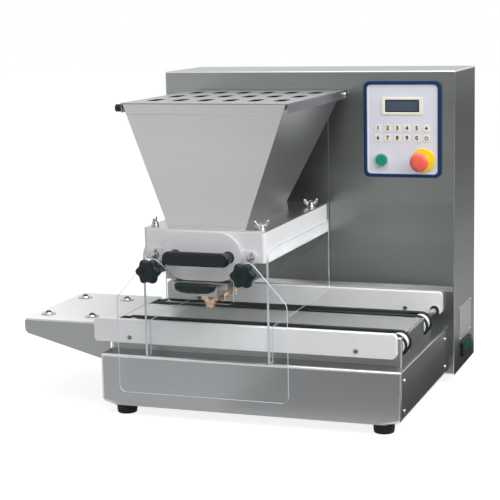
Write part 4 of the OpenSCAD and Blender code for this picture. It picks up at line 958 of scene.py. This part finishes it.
def panel_line():
    """The thin pale line along the inner edge of the panel frame."""
    low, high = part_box("panel_face")
    centre = middle("panel_face")
    inset = 1.5 * MM
    width = 2.6 * MM
    radius = 8.2 * MM
    half_w = (high.x - low.x) / 2 - inset
    half_h = (high.z - low.z) / 2 - inset
    place = facing(Vector((centre.x, low.y, centre.z)), FRONT)
    bm = bmesh.new()
    outer = (half_w, half_h, radius)
    inner = (half_w - width, half_h - width, radius - width)
    add_frame_ring(bm, place, outer, inner, ((0, 0, 0), (0.35 * MM, -0.1 * MM, 0.1 * MM)))
    finish_mesh("panel_line", bm, "line", "machine")


def add_glyph(bm, text, place, size):
    """A raised numeral."""
    curve = bpy.data.curves.new("glyph", "FONT")
    curve.body = text
    curve.size = size
    curve.extrude = 0.12 * MM
    curve.offset = 0.45 * MM
    curve.align_x = "CENTER"
    curve.align_y = "CENTER"
    curve.resolution_u = 4
    sign = bpy.data.objects.new("glyph", curve)
    bpy.context.scene.collection.objects.link(sign)
    depsgraph = bpy.context.evaluated_depsgraph_get()
    mesh = bpy.data.meshes.new_from_object(sign.evaluated_get(depsgraph))
    mesh.transform(place)
    bm.from_mesh(mesh)
    bpy.data.objects.remove(sign)
    bpy.data.curves.remove(curve)
    bpy.data.meshes.remove(mesh)


def key_numerals():
    """Numerals on the flat keys, with an arrow and a ring on the last pair."""
    size = 12.5 * MM
    lift = 0.1 * MM
    sunk, raised = -0.05 * MM, 0.22 * MM
    arrow_size = 4.6 * MM
    ring_outer, ring_inner = 4.4 * MM, 2.7 * MM
    flat = 0.01 * MM
    seam = 0.001 * MM
    keys = sorted((sum(group, Vector()) / len(group) for group in solids_of("keypad")), key=lambda c: c.x)
    mid_z = sum(key.z for key in keys) / len(keys)
    upper = [key for key in keys if key.z > mid_z]
    lower = [key for key in keys if key.z <= mid_z]
    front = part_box("keypad")[0].y
    bm = bmesh.new()
    for key, text in zip(upper[:5] + lower[:5], "1234567890"):
        add_glyph(bm, text, facing(Vector((key.x, front - lift, key.z)), FRONT), size)
    arrow = facing(Vector((upper[5].x, front, upper[5].z)), FRONT)
    add_loft(bm, [ring_of(arrow_size, h, 3, math.pi / 2) for h in (sunk, raised)], arrow)
    ring = facing(Vector((lower[5].x, front, lower[5].z)), FRONT)
    outer = (ring_outer, ring_outer, ring_outer - flat)
    inner = (ring_inner, ring_inner, ring_inner - flat)
    add_frame_ring(bm, ring, outer, inner, ((sunk, 0, 0), (raised, 0, 0)))
    bmesh.ops.remove_doubles(bm, verts=bm.verts, dist=seam)
    finish_mesh("key_numerals", bm, "ink", "machine")


# Small trim

def hopper_hem():
    """The shallow crease below the hopper's rim."""
    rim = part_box("hopper")[1].z
    low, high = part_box("lid")
    drop = 21 * MM
    half_w = (high.x - low.x) / 2 - 12 * MM
    front = low.y + 0.4 * MM
    levels = ((-1.2 * MM, 0), (0.1 * MM, 0), (0.35 * MM, 0.3 * MM))
    place = facing(Vector((middle("lid").x, front, rim - drop)), FRONT)
    bm = bmesh.new()
    add_pillow(bm, place, half_w, 0.5 * MM, 0.4 * MM, levels, steps=4)
    finish_mesh("hopper_hem", bm, "lid", "machine")


def tower_fold():
    """The shallow fold across the tower just above the rear rail, in the lighter bend steel as a painted
    highlight.
    """
    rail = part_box("rear_rail")[1]
    low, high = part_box("tower_shell")
    inset = 4 * MM
    # Millimetres behind the tower's face and above the rail.
    section = ((0.5, 1.2), (-1.4, 1.4), (-2.0, 2.4), (-1.9, 3.4), (-0.1, 12.6), (0.5, 12.8))
    rings = [[(x, rail.y + y * MM, rail.z + z * MM) for y, z in section]
             for x in (low.x + inset, high.x - inset)]
    bm = bmesh.new()
    add_loft(bm, rings)
    finish_mesh("tower_fold", bm, "bend", "machine", sharp=20)


def inlet_pins():
    """The three blades in the bare power inlet."""
    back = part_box("power_inlet")[1].y
    centre = middle("power_inlet")
    depth = 20 * MM
    half_thick, half_wide, radius = 1.0 * MM, 2.4 * MM, 0.5 * MM
    levels = ((0, 0), (12.5 * MM, 0), (13.5 * MM, 0.4 * MM))
    bm = bmesh.new()
    for x, z in ((0, 3.5), (-7, -3), (7, -3)):
        place = facing(Vector((centre.x + x * MM, back - depth, centre.z + z * MM)), BACK)
        add_pillow(bm, place, half_thick, half_wide, radius, levels, steps=3)
    finish_mesh("inlet_pins", bm, "bright", "machine")


def plate_rivets():
    """Four dome rivets that hold the bare data plate."""
    low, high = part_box("data_plate")
    inset = 5 * MM
    # Radius and height of a rivet in millimetres.
    profile = ((2.2, -0.4), (2.2, 0.1), (1.9, 0.7), (1.2, 1.1), (0.4, 1.25))
    bm = bmesh.new()
    for y in (low.y + inset, high.y - inset):
        for z in (low.z + inset, high.z - inset):
            place = facing(Vector((high.x, y, z)), SIDE)
            add_loft(bm, [ring_of(r * MM, h * MM, 28) for r, h in profile], place)
    finish_mesh("plate_rivets", bm, "bright", "machine")


# Stage

def math_node(tree, operation, a, b):
    """Works out a value from a value and a number or another value."""
    node = tree.nodes.new("ShaderNodeMath")
    node.operation = operation
    tree.links.new(a, node.inputs[0])
    if isinstance(b, float):
        node.inputs[1].default_value = b
    else:
        tree.links.new(b, node.inputs[1])
    return node.outputs[0]


def seen_ray(tree):
    """1 for rays that see the background straight, mirrored or through the guards, else 0."""
    path = tree.nodes.new("ShaderNodeLightPath")
    total = path.outputs["Is Camera Ray"]
    for name in ("Is Glossy Ray", "Is Transmission Ray"):
        total = math_node(tree, "MAXIMUM", total, path.outputs[name])
    unscattered = math_node(tree, "LESS_THAN", path.outputs["Diffuse Depth"], 0.5)
    return math_node(tree, "MULTIPLY", total, unscattered)


def stage_material(name):
    """An empty material for the set around the object."""
    material = bpy.data.materials.new(name)
    material.use_nodes = True
    tree = material.node_tree
    tree.nodes.clear()
    return material, tree, tree.nodes.new("ShaderNodeOutputMaterial")


def stage_sheet(name, corners, material):
    """A flat sheet of the set, which is no part of the object."""
    mesh = bpy.data.meshes.new(name)
    mesh.from_pydata(corners, [], [(0, 1, 2, 3)])
    mesh.materials.append(material)
    sheet = bpy.data.objects.new(name, mesh)
    bpy.context.scene.collection.objects.link(sheet)
    return sheet


def shadow_floor():
    """A pale floor that meets the white background and keeps the object's soft shadow."""
    direct_glow, mirrored_glow = 0.86, 0.55
    reach = 14.0
    material, tree, output = stage_material("floor")
    blend = tree.nodes.new("ShaderNodeAddShader")
    glow = tree.nodes.new("ShaderNodeEmission")
    matte = tree.nodes.new("ShaderNodeBsdfDiffuse")
    matte.inputs["Color"].default_value = (0.30, 0.30, 0.305, 1)
    bounces = tree.nodes.new("ShaderNodeLightPath").outputs["Glossy Depth"]
    direct = math_node(tree, "MULTIPLY", math_node(tree, "LESS_THAN", bounces, 0.5), direct_glow)
    mirrored = math_node(tree, "MULTIPLY", math_node(tree, "GREATER_THAN", bounces, 0.5), mirrored_glow)
    level = math_node(tree, "ADD", direct, mirrored)
    tree.links.new(math_node(tree, "MULTIPLY", seen_ray(tree), level), glow.inputs["Strength"])
    tree.links.new(glow.outputs[0], blend.inputs[0])
    tree.links.new(matte.outputs[0], blend.inputs[1])
    tree.links.new(blend.outputs[0], output.inputs["Surface"])
    corners = [(-reach, -reach, 0), (reach, -reach, 0), (reach, reach, 0), (-reach, reach, 0)]
    stage_sheet("floor", corners, material)


def studio_world():
    """White for rays that see the background, and a softer light for the object."""
    world = bpy.data.worlds.new("studio")
    bpy.context.scene.world = world
    world.use_nodes = True
    tree = world.node_tree
    tree.nodes.clear()
    output = tree.nodes.new("ShaderNodeOutputWorld")
    lighting = tree.nodes.new("ShaderNodeBackground")
    lighting.inputs["Color"].default_value = (1, 1, 1, 1)
    lighting.inputs["Strength"].default_value = 0.48
    seen = tree.nodes.new("ShaderNodeBackground")
    seen.inputs["Color"].default_value = (1, 1, 1, 1)
    mix = tree.nodes.new("ShaderNodeMixShader")
    tree.links.new(seen_ray(tree), mix.inputs[0])
    tree.links.new(lighting.outputs[0], mix.inputs[1])
    tree.links.new(seen.outputs[0], mix.inputs[2])
    tree.links.new(mix.outputs[0], output.inputs["Surface"])


def soft_lamp(name, place, size, power):
    """A large soft lamp that points at the machine."""
    target = Vector((0, 0, 0.3))
    lamp = bpy.data.lights.new(name, "AREA")
    lamp.shape = "RECTANGLE"
    lamp.size, lamp.size_y = size
    lamp.energy = power
    holder = bpy.data.objects.new(name, lamp)
    bpy.context.scene.collection.objects.link(holder)
    holder.location = place
    holder.rotation_euler = (target - Vector(place)).to_track_quat("-Z", "Y").to_euler()


def flag(name, corners, tone):
    """A card beside the set that is seen only in polished metal."""
    material, tree, output = stage_material(name)
    blend = tree.nodes.new("ShaderNodeMixShader")
    matte = tree.nodes.new("ShaderNodeBsdfDiffuse")
    matte.inputs["Color"].default_value = (tone, tone, tone, 1)
    bounces = tree.nodes.new("ShaderNodeLightPath").outputs["Glossy Depth"]
    tree.links.new(math_node(tree, "GREATER_THAN", bounces, 0.5), blend.inputs[0])
    tree.links.new(tree.nodes.new("ShaderNodeBsdfTransparent").outputs[0], blend.inputs[1])
    tree.links.new(matte.outputs[0], blend.inputs[2])
    tree.links.new(blend.outputs[0], output.inputs["Surface"])
    card = stage_sheet(name, corners, material)
    card.visible_camera = False
    card.visible_diffuse = False
    card.visible_shadow = False


def lying_flag(name, left, right, near, far, tone):
    """A card that lies just above the floor."""
    lift = 3 * MM
    flag(name, [(left, near, lift), (right, near, lift), (right, far, lift), (left, far, lift)], tone)


def flags():
    """Cards to the right of the machine and before it, which give its steel sides their tones."""
    right, near, far, top = 1.5, -0.6, 9.0, 0.75
    flag("right_flag", [(right, near, 0), (right, far, 0), (right, far, top), (right, near, top)], 0.40)
    lying_flag("right_near_flag", 0.44, 0.62, near, 0.6, 0.05)
    lying_flag("right_far_flag", 0.63, right, near, far, 0.44)
    lying_flag("right_rear_flag", 0.44, 0.62, 0.61, far, 0.34)
    left, right, front, top = -0.8, 3.0, -4.4, 3.0
    lying_flag("front_near_flag", 0.0, right, -1.0, -0.4, 0.36)
    lying_flag("front_far_flag", -0.1, right, -3.0, -1.01, 0.06)
    flag("front_flag", [(left, front, 0), (right, front, 0), (right, front, top), (left, front, top)], 0.30)


def photo_camera():
    """The photograph's point of view: place, heading, downward tilt and a slight roll."""
    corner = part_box("base_tub")[0]
    right_of_corner, before_corner, height = 1.3848, 2.8504, 0.8919
    heading, tilt, roll = -0.348, 0.1684, 0.0217
    place = Vector((corner.x + right_of_corner, corner.y - before_corner, height))
    level = math.cos(tilt)
    forward = Vector((math.sin(heading) * level, math.cos(heading) * level, -math.sin(tilt)))
    right = Vector((math.cos(heading), -math.sin(heading), 0))
    down = forward.cross(right)
    image_x = math.cos(roll) * right + math.sin(roll) * down
    image_down = -math.sin(roll) * right + math.cos(roll) * down
    rotation = Matrix((image_x, -image_down, -forward)).transposed().to_4x4()
    data = bpy.data.cameras.new("camera")
    data.sensor_width = 36
    data.lens = 107.24
    camera = bpy.data.objects.new("camera", data)
    bpy.context.scene.collection.objects.link(camera)
    camera.matrix_world = Matrix.Translation(place) @ rotation
    bpy.context.scene.camera = camera


bpy.context.scene.view_settings.view_transform = "Standard"
photo_camera()
studio_world()
shadow_floor()
soft_lamp("key", (2.5, -1.0, 2.0), size=(2.0, 2.0), power=62)
soft_lamp("fill", (0.8, -2.6, 2.4), size=(2.4, 2.0), power=14)
soft_lamp("top", (0.5, -0.3, 3.0), size=(2.6, 2.2), power=68)
flags()

finish_solids()
bent_sheet("base_tub", "base", 5.5 * MM, 0.6 * MM)
bent_sheet("tower_shell", "tower", 3 * MM, 0.6 * MM)
softened("head_block", "milky", 1.2 * MM, around=("feed_roller_a", "feed_roller_b"))
slotted_lid()
front_cover()
transfer_cups()
belt_bed()
hopper_shell()
clear_guards()
star_knob("star_knob_left")
star_knob("star_knob_right")
bridge_handle()
die_grip()
wing_nuts()
screws()
nozzles()
pulleys("drive_pulleys")
pulleys("idler_pulleys")
feet()
stop_button()
start_button()
display_window()
hopper_hem()
tower_fold()
panel_line()
key_numerals()
inlet_pins()
plate_rivets()
